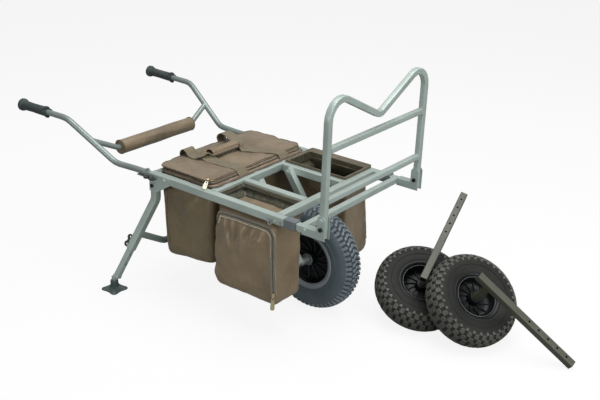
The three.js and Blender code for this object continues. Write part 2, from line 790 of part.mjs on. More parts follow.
function legRoute(side) {
  const top = at(legPivotX, side * railY, -legPivotDepth + legTopOverPivot);
  const end = kneePoint(side).addScaledVector(kneeToAnkle(side).normalize(), legLength);
  return new TubeRoute([top, kneePoint(side), end], [legBend], xAxis);
}

// The frame of a leg's lower straight: z down along the leg, x to the front
function legFrame(side) {
  const { tangent, normal } = legRoute(side).end;
  return new THREE.Matrix4().makeBasis(normal, tangent.clone().cross(normal), tangent).setPosition(kneePoint(side));
}

const legKnobPlace = legLength - legKnobAboveEnd;

function addLegTubes() {
  onBothSides((name, side) => {
    const tube = sweep(squareSection(legSize, legCorner, legWall), legRoute(side));
    const reach = side * (legSize / 2 + cutOverrun);
    const y = side * railY;
    const pivot = crossRod(legPivotX, -legPivotDepth, y - reach, y + reach, boltRadius + boreGap);
    const screw = rod(at(-legSize, 0, legKnobPlace), at(0, 0, legKnobPlace), knobScrewRadius + boreGap);
    add(`leg_tube_${name}`, cut(tube, pivot, screw.applyMatrix4(legFrame(side))), paint);
  });
}

function addLegBrace() {
  const corners = [sides.near, sides.far].map((side) => {
    const end = kneePoint(side).addScaledVector(kneeToAnkle(side), legBraceAlongShare);
    return [end, behind(legBraceCorner, side)];
  });
  const [[nearEnd, nearCorner], [farEnd, farCorner]] = corners;
  const route = new TubeRoute([nearEnd, nearCorner, farCorner, farEnd], [legBraceBend, legBraceBend], zAxis);
  const around = squareSection(legSize + 2 * seatGap, legCorner, 0);
  const legs = Object.values(sides).map((side) => sweep(around, legRoute(side)));
  add("leg_brace", cut(sweep(roundSection(legBraceRadius, legWall), route), ...legs), paint);
}

function addLegPivotBolts() {
  onBothSides((name, side) => {
    const headFrom = side * (plateOuterY + plateThickness / 2 + seatGap);
    const nutFrom = side * (gussetInnerY - plateThickness / 2 - seatGap);
    const nutEnd = nutFrom - side * boltHeadHeight;
    const shank = crossRod(legPivotX, -legPivotDepth, nutEnd, headFrom + side * weldDepth, boltRadius);
    const head = crossRod(legPivotX, -legPivotDepth, headFrom, headFrom + side * boltHeadHeight, boltHeadRadius, boltSides);
    const nut = crossRod(legPivotX, -legPivotDepth, nutEnd, nutFrom, boltHeadRadius, boltSides);
    add(`leg_pivot_bolt_${name}`, weld(shank, head, nut), steel);
  });
}

const gussetInnerY = railInnerY - seatGap - plateThickness / 2;

function addGussets() {
  const { rearDepth, frontReach, frontDepth, lowReach, lowDepth, innerReach } = gussetPlan;
  const below = -railSize - seatGap;
  const topEdge = -cutOverrun;
  const outerOutline = [
    [deckRear, topEdge], [deckRear + frontReach - plateThickness, topEdge], [deckRear + frontReach, -frontDepth],
    [deckRear + lowReach, -lowDepth], [deckRear, -rearDepth],
  ];
  const innerOutline = [
    [deckRear, below], [deckRear + innerReach, below], [deckRear + lowReach, -lowDepth], [deckRear, -rearDepth],
  ];
  const webX = [deckRear + gussetTopWeb.start, deckRear + gussetTopWeb.start + gussetTopWeb.length];
  const stopX = [deckRear + gussetStop.start, deckRear + gussetStop.start + gussetStop.width];
  onBothSides((name, side) => {
    const [outer, inner] = [side * plateOuterY, side * gussetInnerY];
    const edge = side * (plateThickness / 2);
    const across = [inner - edge, outer + edge];
    const web = block(webX, across, [below - plateThickness, below]);
    const stop = block(stopX, across, [-gussetStop.depth, below]);
    const headY = outer + edge + side * boltHeadHeight;
    const bolt = crossRod(deckRear + gussetBolt.ahead, railZ, outer, headY, gussetBolt.radius, boltSides);
    const solid = weld(plate(outerOutline, outer, plateThickness), plate(innerOutline, inner, plateThickness), web, stop, bolt);
    const reach = side * cutOverrun;
    const pivot = crossRod(legPivotX, -legPivotDepth, inner - reach, outer + reach, boltRadius + boreGap);
    const screw = crossRod(deckRear + railKnobAhead, railZ, outer - reach, outer + reach, knobScrewRadius + boreGap);
    add(`gusset_${name}`, cut(solid, pivot, screw), galvanised);
  });
}

function addLowerLegs() {
  const section = squareSection(lowerLegSize, lowerLegCorner, lowerLegWall);
  const solidSection = squareSection(lowerLegSize + lowerLegWall, lowerLegCorner, 0);
  onBothSides((name, side) => {
    const frame = legFrame(side);
    const tube = new THREE.ExtrudeGeometry(section, {
      depth: lowerLegEnd - lowerLegTop, bevelEnabled: false, curveSegments: cornerSteps,
    }).translate(0, 0, lowerLegTop);
    const holes = Array.from({ length: legHole.count }, (_, step) => {
      const z = legKnobPlace + (step - (legHole.count - 1) / 2) * legHole.pitch;
      return rod(at(-lowerLegSize, 0, z), at(lowerLegSize, 0, z), legHole.radius);
    });
    const plug = new THREE.ExtrudeGeometry(solidSection, {
      depth: lowerLegPlug + weldDepth, bevelEnabled: false, curveSegments: cornerSteps,
    }).translate(0, 0, lowerLegEnd - weldDepth);
    const leg = weld(cut(tube, ...holes), plug).applyMatrix4(frame);
    const { x, y, z } = anklePoint(side);
    const half = ankleTongue.width / 2;
    const rounded = arcPoints(x, z, half, Math.PI, 2 * Math.PI, tubeSides / 2);
    const tongueOutline = [[x - half, z + ankleTongue.rise], ...rounded, [x + half, z + ankleTongue.rise]];
    const tongue = plate(tongueOutline, y, ankleTongue.thickness);
    const bore = crossRod(x, z, y - ankleTongue.thickness, y + ankleTongue.thickness, anklePinRadius + boreGap);
    add(`lower_leg_${name}`, weld(leg, cut(tongue, bore)), paint);
  });
}

function footGeometry() {
  const floor = -ankle.height;
  const slopeTop = -footConeTop.depth;
  const rimTop = floor + footEdge;
  const profile = [
    [0, floor], [footRadius, floor], [footRadius, rimTop], [footConeTop.radius, slopeTop], [0, slopeTop],
  ];
  const cone = new THREE.LatheGeometry(profile.map(([r, z]) => new THREE.Vector2(r, z)), footSides);
  cone.rotateX(Math.PI / 2);
  const earY = ankleTongue.thickness / 2 + slideGap;
  const ears = Object.values(sides).flatMap((side) => {
    const [inner, outer] = [side * earY, side * (earY + ankleEar.thickness)];
    const { radius } = ankleEar;
    return [crossRod(0, 0, inner, outer, radius, tubeSides), block([-radius, radius], [inner, outer], [slopeTop - weldDepth, 0])];
  });
  const pin = crossRod(0, 0, -earY - weldDepth, earY + weldDepth, anklePinRadius);
  const slope = (slopeTop - rimTop) / (footRadius - footConeTop.radius);
  const ribs = Array.from({ length: footRib.count }, (_, step) => {
    const [inner, outer] = [footRib.innerShare * footRadius, footRib.outerShare * footRadius];
    const height = (reach) => slopeTop - slope * (reach - footConeTop.radius) + footRib.rise;
    const outline = [[inner, rimTop], [outer, rimTop], [outer, height(outer)], [inner, height(inner)]];
    return plate(outline, 0, footRib.thickness).rotateZ((2 * Math.PI * (step + 0.5)) / footRib.count);
  });
  return weld(cone, ...ears, pin, ...ribs);
}

function addFeet() {
  onBothSides((name, side) => {
    add(`foot_${name}`, footGeometry(), blackPlastic).position.copy(anklePoint(side));
  });
}

// Wing knobs

// A knob whose z axis points away from its seat; its screw reaches down by the given length
function knobGeometry(screwLength) {
  const { radius, hole, thickness, offset, height } = knobLobe;
  const hub = rod(at(0, 0, 0), at(0, 0, knobHub.height), knobHub.radius);
  const screw = rod(at(0, 0, -screwLength), at(0, 0, weldDepth), knobScrewRadius);
  const lobes = Object.values(sides).map((side) => crossRod(side * offset, height, -thickness / 2, thickness / 2, radius));
  const holes = Object.values(sides).map((side) => crossRod(side * (offset + weldDepth), height, -thickness, thickness, hole));
  return cut(weld(hub, screw, ...lobes), ...holes);
}

function addRailKnobs() {
  const seat = plateOuterY + plateThickness / 2 + seatGap;
  const tip = railY + handleRadius + seatGap + knobRelease;
  onBothSides((name, side) => {
    const knob = add(`rail_knob_${name}`, knobGeometry(seat - tip), blackPlastic);
    knob.position.set(deckRear + railKnobAhead, side * seat, railZ);
    knob.quaternion.setFromUnitVectors(zAxis, at(0, side, 0));
  });
}

function addLegKnobs() {
  const seat = legSize / 2 + seatGap;
  const tip = lowerLegSize / 2 + seatGap + knobRelease;
  const outwards = new THREE.Matrix4().makeRotationY(-Math.PI / 2).setPosition(-seat, 0, legKnobPlace);
  onBothSides((name, side) => {
    const knob = add(`leg_knob_${name}`, knobGeometry(seat - tip), blackPlastic);
    knob.applyMatrix4(legFrame(side).multiply(outwards));
  });
}

// Fabric bags

function ringAt([x0, x1], [y0, y1], z, corner) {
  const steps = 2;
  const quarter = Math.PI / 2;
  const centres = [[x1 - corner, y1 - corner], [x0 + corner, y1 - corner], [x0 + corner, y0 + corner], [x1 - corner, y0 + corner]];
  return centres.flatMap(([x, y], turn) => Array.from({ length: steps + 1 }, (_, step) => {
    const angle = (turn + step / steps) * quarter;
    return at(x + corner * Math.cos(angle), y + corner * Math.sin(angle), z);
  }));
}

// Closed skin through rings of equal length, with a flat face at each end
function loft(rings) {
  const around = rings[0].length;
  const points = rings.flat();
  const middle = (ring) => ring.reduce((sum, point) => sum.clone().add(point), at(0, 0, 0)).divideScalar(around);
  points.push(middle(rings[0]), middle(rings[rings.length - 1]));
  const [first, last] = [points.length - 2, points.length - 1];
  const lastRing = (rings.length - 1) * around;
  const index = [];
  for (let step = 0; step < around; step += 1) {
    const next = (step + 1) % around;
    for (let level = 0; level < rings.length - 1; level += 1) {
      const [low, high] = [level * around, (level + 1) * around];
      index.push(low + step, low + next, high + next, low + step, high + next, high + step);
    }
    index.push(first, next, step, last, lastRing + step, lastRing + next);
  }
  const geometry = new THREE.BufferGeometry().setFromPoints(points);
  geometry.setIndex(index);
  return geometry;
}

// An open-topped bag: its levels run up outside and down inside, a wall apart
function bagShell(levels, wall) {
  const rings = levels.map(({ x, y, z }) => ringAt(x, y, z, bagCorner));
  const inside = levels.map(({ x, y, z }, level) => {
    const lift = level === 0 ? wall : 0;
    return ringAt([x[0] + wall, x[1] - wall], [y[0] + wall, y[1] - wall], z + lift, bagCorner - wall / 2);
  });
  return loft([...rings, ...inside.reverse()]);
}

function addMainBag() {
  const { gap, sideGap, bulge, frontBulge, depth, foot, taper } = mainBag;
  const rear = rearBarX + railSize / 2 + gap;
  const front = middleBarX - railSize / 2 - gap;
  const levels = [[1, 0, 1], [0.97, 0.2, 0.8], [0.8, 0.9, 0.4], [0.55, 1, 0], [0.3, 0.8, 0], [0.16, 0, 0], [0, 0, 0]];
  const rings = levels.map(([down, grow, narrow], place) => {
    const inset = place === 0 ? foot : 0;
    const reach = railInnerY - sideGap + grow * bulge - inset;
    const x = [rear + narrow * taper + inset, front + grow * frontBulge - inset];
    return { x, y: [-reach, reach], z: -down * depth };
  });
  add("main_bag", bagShell(rings, bagWall), brownFabric);
}

function addMainBagLid() {
  const { overhang, frontReach, overRail, lift, height, crown, corner, edgeShare } = lidSize;
  const halfWidth = railInnerY + overRail;
  const rear = deckRear + overhang;
  const front = middleBarX + frontReach - railSize / 2 + seatGap * 2;
  const ring = (z, inset) => ringAt([rear + inset, front - inset], [inset - halfWidth, halfWidth - inset], z, corner);
  const edge = height * edgeShare;
  const top = lift + height;
  const rings = [ring(lift, edge / 2), ring(lift + edge, 0), ring(top - edge, 0), ring(top, edge), ring(top + crown, corner)];
  add("main_bag_lid", loft(rings), brownFabric);
}

function addPocketBags() {
  const { gap, bulge, topDrop, depth, foot, frontBulge, innerBulge, taper } = pocketBag;
  const rear = middleBarX + railSize / 2 + gap;
  const front = -railSize - gap;
  const inner = innerBarY + railSize / 2 + gap;
  const outer = railInnerY - gap;
  const levels = [[1, 0, 0.4], [0.93, 1, 1.3], [0.7, 0.9, 1.55], [0.28, 0.4, 1], [0.14, 0, 0.45], [0.09, 0, 0], [0, 0, 0]];
  onBothSides((name, side) => {
    const rings = levels.map(([down, grow, out], place) => {
      const inset = place === 0 ? foot : 0;
      const x = [rear + down * taper + inset, front + grow * frontBulge - inset];
      const z = place === levels.length - 1 ? -topDrop : -down * depth;
      const y = [inner - grow * innerBulge + inset, outer + out * bulge - inset];
      return { x, y: side > 0 ? y : [-y[1], -y[0]], z };
    });
    add(`pocket_bag_${name}`, bagShell(rings, bagWall), oliveFabric);
  });
}

// Spare wheels

// A group at a wheel's centre: y along its axle, x along its arm
function spareGroup({ ahead, insideRail, heading, tilt, armTurn }) {
  const radians = THREE.MathUtils.degToRad;
  const level = Math.cos(radians(tilt));
  const axle = at(level * Math.cos(radians(heading)), level * Math.sin(radians(heading)), Math.sin(radians(tilt)));
  const down = zAxis.clone().negate().addScaledVector(axle, axle.z).normalize();
  const arm = down.clone().applyAxisAngle(axle, radians(armTurn));
  const group = new THREE.Group();
  group.quaternion.setFromRotationMatrix(new THREE.Matrix4().makeBasis(arm, axle, arm.clone().cross(axle)));
  group.position.set(ahead, railY - insideRail, 0);
  return group;
}

function addSpareArm(name, group) {
  const { size, wall, corner, length, behindHub, offset, endHole } = spareArm;
  const level = (x) => at(x, offset, 0);
  const tube = straight(squareSection(size, corner, wall), level(-behindHub), level(length - behindHub), yAxis);
  const holes = Array.from({ length: legHole.count }, (_, step) => {
    const x = length - behindHub - endHole - step * legHole.pitch;
    return crossRod(x, 0, offset - size, offset + size, legHole.radius);
  });
  const washerStart = -spareRim.hubHalf - seatGap;
  const axle = crossRod(0, 0, washerStart - spareWasher.height, offset, spareAxleRadius, tubeSides);
  const washer = crossRod(0, 0, washerStart - spareWasher.height, washerStart, spareWasher.radius, tubeSides);
  const collar = crossRod(0, 0, spareRim.hubHalf + seatGap, offset - size / 2 + weldDepth, axleSpacerRadius, tubeSides);
  add(`spare_arm_${name}`, weld(cut(tube, ...holes), axle, washer, collar), paint, group);
}

function addSpareWheels() {
  for (const [name, place] of Object.entries(spareWheelPlaces)) {
    const group = spareGroup(place);
    addSpareArm(name, group);
    const tyre = add(`spare_tyre_${name}`, tyreGeometry(spareTyre, spareRim, 2), tyreRubber, group);
    group.updateMatrixWorld(true);
    group.position.z = floorZ - new THREE.Box3().setFromObject(tyre, true).min.z;
    add(`spare_rim_${name}`, rimGeometry(spareRim, spareAxleRadius + boreGap), blackPlastic, group);
    trolley.add(group);
  }
}

addRails();
addCrossbars();
addInnerBars();
addRailSleeves();
addRailCatches();
addGussets();
addForkArms();
addWheelAxle();
addFrontWheel();
addExtension();
addHoopBrackets();
addHoopPivotBolts();
addHoop();
addHandleTubes();
addGrips();
addGripCollars();
addHandleCrossbar();
addHandlePad();
addHandleStops();
addLegTubes();
addLegBrace();
addLegPivotBolts();
addLowerLegs();
addFeet();
addRailKnobs();
addLegKnobs();
addMainBag();
addMainBagLid();
addPocketBags();
addSpareWheels();

// The origin lies on the floor below the middle of the whole set
const extent = new THREE.Box3().setFromObject(trolley, true);
const middle = extent.getCenter(new THREE.Vector3());
trolley.position.set(-middle.x, -middle.y, -extent.min.z);

export default trolley;
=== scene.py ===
"""Looks of the fishing trolley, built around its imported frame.

Sewn bags with zips and piping, a padded lid with webbing handles, treaded tyres and painted
square tube. Sizes are in millimetres from the deck: x runs forward from the front face of the
front crossbar, y to the far side from the centre plane and z up from the top of the deck.
"""

from __future__ import annotations

import json
import logging
import math
from contextlib import contextmanager
from dataclasses import dataclass
from enum import Enum
from typing import Callable, Iterable, Iterator, Sequence

import bmesh
import bpy
from mathutils import Matrix, Vector, noise
from mathutils.bvhtree import BVHTree

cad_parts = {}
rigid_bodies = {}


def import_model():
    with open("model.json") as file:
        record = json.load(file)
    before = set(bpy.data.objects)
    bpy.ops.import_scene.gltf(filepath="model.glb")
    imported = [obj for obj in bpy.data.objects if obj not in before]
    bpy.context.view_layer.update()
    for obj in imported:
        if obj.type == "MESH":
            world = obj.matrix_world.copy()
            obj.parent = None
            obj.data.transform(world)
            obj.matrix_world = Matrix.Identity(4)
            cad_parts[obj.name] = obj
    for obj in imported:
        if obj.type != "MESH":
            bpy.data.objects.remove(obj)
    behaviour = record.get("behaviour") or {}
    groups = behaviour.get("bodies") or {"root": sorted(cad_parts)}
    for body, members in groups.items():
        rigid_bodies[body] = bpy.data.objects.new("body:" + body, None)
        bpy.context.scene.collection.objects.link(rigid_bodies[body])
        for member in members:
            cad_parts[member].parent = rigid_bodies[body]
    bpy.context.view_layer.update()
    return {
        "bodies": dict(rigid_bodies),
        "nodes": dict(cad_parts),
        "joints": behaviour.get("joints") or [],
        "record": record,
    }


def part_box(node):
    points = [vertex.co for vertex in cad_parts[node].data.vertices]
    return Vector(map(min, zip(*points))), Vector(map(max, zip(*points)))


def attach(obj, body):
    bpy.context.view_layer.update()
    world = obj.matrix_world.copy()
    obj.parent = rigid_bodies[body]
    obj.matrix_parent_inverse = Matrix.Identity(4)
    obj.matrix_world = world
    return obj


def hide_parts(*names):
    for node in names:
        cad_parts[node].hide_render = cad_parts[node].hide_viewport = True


LOG = logging.getLogger("trolley")
MM = 0.001
TURN = 2 * math.pi
MERGE_GAP = 1e-5
TAPE_THICKNESS = 0.0012
WHITE = (1.0, 1.0, 1.0, 1.0)
Socket = bpy.types.NodeSocket
Object = bpy.types.Object


class Side(Enum):
    """The two long sides of the trolley, by the sign of y."""

    NEAR = -1
    FAR = 1

    @property
    def label(self) -> str:
        """The word for this side in node names."""
        return self.name.lower()


# Places and colours


@dataclass(frozen=True)
class Deck:
    """Turns deck places in millimetres into places of the frame in metres."""

    origin: Vector

    @classmethod
    def from_frame(cls) -> "Deck":
        """Finds the deck's zero on the front crossbar."""
        low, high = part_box("crossbar_front")
        return cls(Vector((high.x, (low.y + high.y) / 2, high.z)))

    def place(self, x: float, y: float, z: float) -> Vector:
        """The frame's point, in metres, of a deck place in millimetres."""
        return self.origin + Vector((x, y, z)) * MM

    def places(self, points: Iterable[Sequence[float]]) -> list[Vector]:
        """The frame's points of several deck places."""
        return [self.place(*point) for point in points]

    def box(self, node: str) -> tuple[Vector, Vector]:
        """The lowest and highest corner of a CAD node, in deck millimetres."""
        low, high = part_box(node)
        return (low - self.origin) / MM, (high - self.origin) / MM


@dataclass(frozen=True)
class Tint:
    """A colour as it looks on screen, each channel from 0 to 255."""

    red: float
    green: float
    blue: float

    def linear(self) -> tuple[float, float, float, float]:
        """The colour as shader nodes take it."""
        return (*(self._channel(value / 255) for value in (self.red, self.green, self.blue)), 1.0)

    @staticmethod
    def _channel(value: float) -> float:
        """One channel from screen to linear light."""
        return value / 12.92 if value <= 0.04045 else ((value + 0.055) / 1.055) ** 2.4

    def times(self, factor: float) -> "Tint":
        """The same colour, lighter or darker."""
        return Tint(*(min(255.0, value * factor) for value in (self.red, self.green, self.blue)))


# Shader nodes


class Sketch:
    """Adds nodes to one node tree and joins them."""

    def __init__(self, tree: bpy.types.NodeTree) -> None:
        """Keeps the tree that nodes are added to."""
        self.tree = tree

    def add(self, kind: str, inputs: dict | None = None, **settings: object) -> bpy.types.Node:
        """Adds a node.

        Args:
            kind: the node's type name.
            inputs: values or sockets by input name or number.
            settings: attributes set on the node.

        Returns:
            The new node.
        """
        node = self.tree.nodes.new(kind)
        for name, value in settings.items():
            setattr(node, name, value)
        self.feed_all(node, inputs or {})
        return node

    def feed(self, socket: Socket, value: object) -> None:
        """Links a socket to an input, or sets its value, a tint as linear light."""
        if isinstance(value, bpy.types.NodeSocket):
            self.tree.links.new(value, socket)
        else:
            socket.default_value = value.linear() if isinstance(value, Tint) else value

    def feed_all(self, node: bpy.types.Node, inputs: dict) -> None:
        """Feeds several inputs of a node, by name or number."""
        for key, value in inputs.items():
            self.feed(node.inputs[key], value)

    def maths(self, operation: str, *values: object) -> Socket:
        """A Math node's result."""
        return self.add("ShaderNodeMath", dict(enumerate(values)), operation=operation).outputs[0]

    def times(self, first: object, second: object) -> Socket:
        """The product of two values."""
        return self.maths("MULTIPLY", first, second)

    def plus(self, first: object, second: object) -> Socket:
        """The sum of two values."""
        return self.maths("ADD", first, second)

    def wave(self, place: object, turns: float = 1.0) -> Socket:
        """A sine wave with a number of turns to each unit of a place."""
        return self.maths("SINE", self.times(place, TURN * turns))

    def spread(self, value: object, low: float, high: float, to_low: float = 0.0, to_high: float = 1.0) -> Socket:
        """Maps a value from one range to another, clamped."""
        limits = {"Value": value, "From Min": low, "From Max": high, "To Min": to_low, "To Max": to_high}
        return self.add("ShaderNodeMapRange", limits).outputs[0]

    def blend(self, share: object, first: object, second: object) -> Socket:
        """Mixes two colours."""
        return self.add("ShaderNodeMix", {0: share, 6: first, 7: second}, data_type="RGBA").outputs[2]

    def tones(self, share: object, colour: Tint, low: float, high: float) -> Socket:
        """Mixes a darker and a lighter tone of one colour."""
        return self.blend(share, colour.times(low), colour.times(high))

    def noise(self, place: Socket, scale: object, detail: float = 2.0, rough: float = 0.5) -> Socket:
        """The value of a Noise texture."""
        inputs = {"Vector": place, "Scale": scale, "Detail": detail, "Roughness": rough}
        return self.add("ShaderNodeTexNoise", inputs).outputs[0]

    def stretched(self, place: Socket, scale: tuple[float, float, float], turn: float = 0.0) -> Socket:
        """A place scaled by axis, after a turn about z."""
        return self.add("ShaderNodeMapping", {"Vector": place, "Scale": scale, "Rotation": (0, 0, turn)}).outputs[0]

    def object_place(self) -> Socket:
        """The place on the object, in metres."""
        return self.add("ShaderNodeTexCoord").outputs["Object"]

    def normal(self) -> Socket:
        """The direction that the surface faces."""
        return self.add("ShaderNodeNewGeometry").outputs["Normal"]

    def parts(self, vector: Socket) -> Sequence[Socket]:
        """The x, y and z of a vector."""
        return self.add("ShaderNodeSeparateXYZ", {0: vector}).outputs

    def along(self, vector: Socket, axis: object) -> Socket:
        """How far a vector reaches along an axis."""
        return self.add("ShaderNodeVectorMath", {0: vector, 1: axis}, operation="DOT_PRODUCT").outputs["Value"]

    def effect(self, effect: "Effect", **values: float) -> Sequence[Socket]:
        """Places a shared effect with its own values and gives its outputs."""
        return self.add("ShaderNodeGroup", values, node_tree=effect.tree()).outputs


Drawing = Callable[[Sketch, bpy.types.Node], dict[str, Socket]]


@dataclass(frozen=True)
class Effect:
    """A shader effect that several finishes share, kept as one node group."""

    name: str
    inputs: tuple[tuple[str, float], ...]
    outputs: tuple[str, ...]
    draw: Drawing

    def tree(self) -> bpy.types.NodeTree:
        """The node group, made at its first use."""
        found = bpy.data.node_groups.get(self.name)
        if found:
            return found
        tree = bpy.data.node_groups.new(self.name, "ShaderNodeTree")
        for name, default in self.inputs:
            socket = tree.interface.new_socket(name=name, in_out="INPUT", socket_type="NodeSocketFloat")
            socket.default_value = default
        for name in self.outputs:
            tree.interface.new_socket(name=name, in_out="OUTPUT", socket_type="NodeSocketFloat")
        sketch = Sketch(tree)
        entry = sketch.add("NodeGroupInput")
        results = self.draw(sketch, entry)
        way_out = sketch.add("NodeGroupOutput")
        for name in self.outputs:
            sketch.feed(way_out.inputs[name], results[name])
        return tree


def draw_weave(sketch: Sketch, entry: bpy.types.Node) -> dict[str, Socket]:
    """Draws plain woven threads on the plane that a surface faces.

    Args:
        sketch: the group's tree.
        entry: the group's input node, with Threads per metre.

    Returns:
        The weave's height and a tone that differs from thread to thread.
    """
    place = sketch.object_place()
    facing = sketch.parts(sketch.normal())
    waves = [sketch.wave(sketch.times(part, entry.outputs["Threads"])) for part in sketch.parts(place)]
    height: Socket | float = 0.0
    for axis in range(3):
        plain = sketch.times(waves[(axis + 1) % 3], waves[(axis + 2) % 3])
        weight = sketch.maths("POWER", sketch.maths("ABSOLUTE", facing[axis]), 4.0)
        height = sketch.plus(height, sketch.times(plain, weight))
    return {"Height": height, "Tone": sketch.noise(place, 260.0)}


def draw_dust(sketch: Sketch, entry: bpy.types.Node) -> dict[str, Socket]:
    """Draws dust that settles on faces that look up, in loose patches."""
    upward = sketch.parts(sketch.normal())[2]
    patches = sketch.noise(sketch.object_place(), 14.0, 5.0, 0.6)
    settled = sketch.times(sketch.spread(upward, 0.2, 1.0), sketch.spread(patches, 0.35, 0.7))
    return {"Mask": sketch.times(settled, entry.outputs["Amount"])}


def draw_edges(sketch: Sketch, entry: bpy.types.Node) -> dict[str, Socket]:
    """Draws a mask along sharp edges, broken up by small noise."""
    rounded = sketch.add("ShaderNodeBevel", {"Radius": entry.outputs["Width"]}, samples=4).outputs[0]
    edge = sketch.spread(sketch.along(rounded, sketch.normal()), 0.985, 0.9)
    broken = sketch.spread(sketch.noise(sketch.object_place(), 90.0, 4.0, 0.7), 0.42, 0.62)
    return {"Mask": sketch.times(edge, broken)}


def draw_grain(sketch: Sketch, entry: bpy.types.Node) -> dict[str, Socket]:
    """Draws a fine even grain with a slow unevenness under it."""
    place = sketch.object_place()
    return {"Fine": sketch.noise(place, entry.outputs["Grains"], 3.0, 0.6), "Slow": sketch.noise(place, 9.0, 3.0)}


WEAVE = Effect("plain weave", (("Threads", 900.0),), ("Height", "Tone"), draw_weave)
DUST = Effect("settled dust", (("Amount", 0.3),), ("Mask",), draw_dust)
EDGES = Effect("edge wear", (("Width", 0.001),), ("Mask",), draw_edges)
GRAIN = Effect("surface grain", (("Grains", 700.0),), ("Fine", "Slow"), draw_grain)


# Finishes


METAL_DUST, PLASTIC_DUST, CLOTH_DUST = Tint(196, 192, 180), Tint(150, 146, 136), Tint(170, 160, 140)


class Finish:
    """A material that is made once and then shared."""

    name: str

    def material(self) -> bpy.types.Material:
        """The material, made at its first use."""
        found = bpy.data.materials.get(self.name)
        if found:
            return found
        material = bpy.data.materials.new(self.name)
        material.use_nodes = True
        sketch = Sketch(material.node_tree)
        shader = next(node for node in material.node_tree.nodes if node.type == "BSDF_PRINCIPLED")
        self.draw(sketch, shader)
        return material

    def draw(self, sketch: Sketch, shader: bpy.types.Node) -> None:
        """Joins the finish's nodes to its shader."""
        raise NotImplementedError

    @staticmethod
    def bump(sketch: Sketch, shader: bpy.types.Node, height: Socket, depth: float) -> None:
        """Leads a height into the shader's normal."""
        node = sketch.add("ShaderNodeBump", {"Height": height, "Distance": depth, "Strength": 1.0})
        sketch.feed(shader.inputs["Normal"], node.outputs[0])


@dataclass(frozen=True)
class PaintFinish(Finish):
    """Satin powder paint on steel: fine orange peel, dust on top and pale worn edges."""

    name: str
    colour: Tint
    worn: Tint
    roughness: float = 0.36
    metallic: float = 0.25
    dust: float = 0.2
    coat: float = 0.25
    relief: float = 0.00003

    def draw(self, sketch: Sketch, shader: bpy.types.Node) -> None:
        """Joins paint, wear and dust."""
        grain = sketch.effect(GRAIN, Grains=900.0)
        edge = sketch.effect(EDGES, Width=0.0012)["Mask"]
        dust = sketch.effect(DUST, Amount=self.dust)["Mask"]
        colour = sketch.tones(sketch.spread(grain["Slow"], 0.3, 0.7), self.colour, 0.95, 1.05)
        colour = sketch.blend(sketch.times(edge, 0.3), colour, self.worn)
        rough = sketch.spread(grain["Fine"], 0.2, 0.8, self.roughness - 0.05, self.roughness + 0.08)
        sketch.feed_all(shader, {
            "Base Color": sketch.blend(dust, colour, METAL_DUST), "Metallic": self.metallic,
            "Roughness": sketch.plus(rough, sketch.times(dust, 0.4)), "Coat Weight": self.coat, "Coat Roughness": 0.2,
        })
        self.bump(sketch, shader, grain["Fine"], self.relief)


@dataclass(frozen=True)
class MetalFinish(Finish):
    """Bare or plated metal with a cloudy, spangled surface and small scratches."""

    name: str
    colour: Tint
    roughness: float = 0.38
    spangle: float = 60.0
    metallic: float = 0.75
    scratch_depth: float = 0.00006

    def draw(self, sketch: Sketch, shader: bpy.types.Node) -> None:
        """Joins the clouds, the spangle and small scratches."""
        place = sketch.object_place()
        cells = sketch.add("ShaderNodeTexVoronoi", {"Vector": place, "Scale": self.spangle}).outputs["Distance"]
        cloud = sketch.noise(place, 45.0, 4.0, 0.6)
        tone = sketch.plus(sketch.times(cells, 0.35), sketch.times(cloud, 0.65))
        sketch.feed_all(shader, {
            "Base Color": sketch.tones(sketch.spread(tone, 0.25, 0.65), self.colour, 0.86, 1.1),
            "Metallic": self.metallic,
            "Roughness": sketch.spread(cloud, 0.3, 0.7, self.roughness - 0.08, self.roughness + 0.14),
        })
        scratches = sketch.noise(sketch.stretched(place, (30.0, 900.0, 900.0)), 1.0)
        self.bump(sketch, shader, scratches, self.scratch_depth)


@dataclass(frozen=True)
class MouldedFinish(Finish):
    """Moulded plastic or rubber: a fine grain, dusty high spots and a dull bloom."""

    name: str
    colour: Tint
    bloom: Tint
    roughness: float = 0.5
    grains: float = 900.0
    depth: float = 0.0002
    dust: float = 0.12
    wear: float = 0.5
    specular: float = 0.5
    ring_axis: tuple[float, float, float] | None = None
    ring_pitch: float = 0.0045
    ring_depth: float = 0.0012

    def draw(self, sketch: Sketch, shader: bpy.types.Node) -> None:
        """Joins grain, bloom and dust."""
        grain = sketch.effect(GRAIN, Grains=self.grains)
        edge = sketch.effect(EDGES, Width=0.0015)["Mask"]
        dust = sketch.effect(DUST, Amount=self.dust)["Mask"]
        cloud = sketch.spread(grain["Slow"], 0.35, 0.7)
        colour = sketch.blend(sketch.times(cloud, 0.35), self.colour, self.bloom)
        colour = sketch.blend(sketch.times(edge, self.wear), colour, self.bloom)
        sketch.feed_all(shader, {
            "Base Color": sketch.blend(dust, colour, PLASTIC_DUST), "Specular IOR Level": self.specular,
            "Roughness": sketch.spread(grain["Fine"], 0.25, 0.75, self.roughness - 0.07, self.roughness + 0.1),
        })
        height = sketch.times(grain["Fine"], self.depth)
        if self.ring_axis:
            rings = sketch.wave(sketch.along(sketch.object_place(), self.ring_axis), 1 / self.ring_pitch)
            height = sketch.plus(height, sketch.times(sketch.spread(rings, -0.6, 0.6), self.ring_depth))
        self.bump(sketch, shader, height, 1.0)


@dataclass(frozen=True)
class RubberFinish(MouldedFinish):
    """Tyre rubber, with a deeper grain than moulded plastic."""

    depth: float = 0.0003


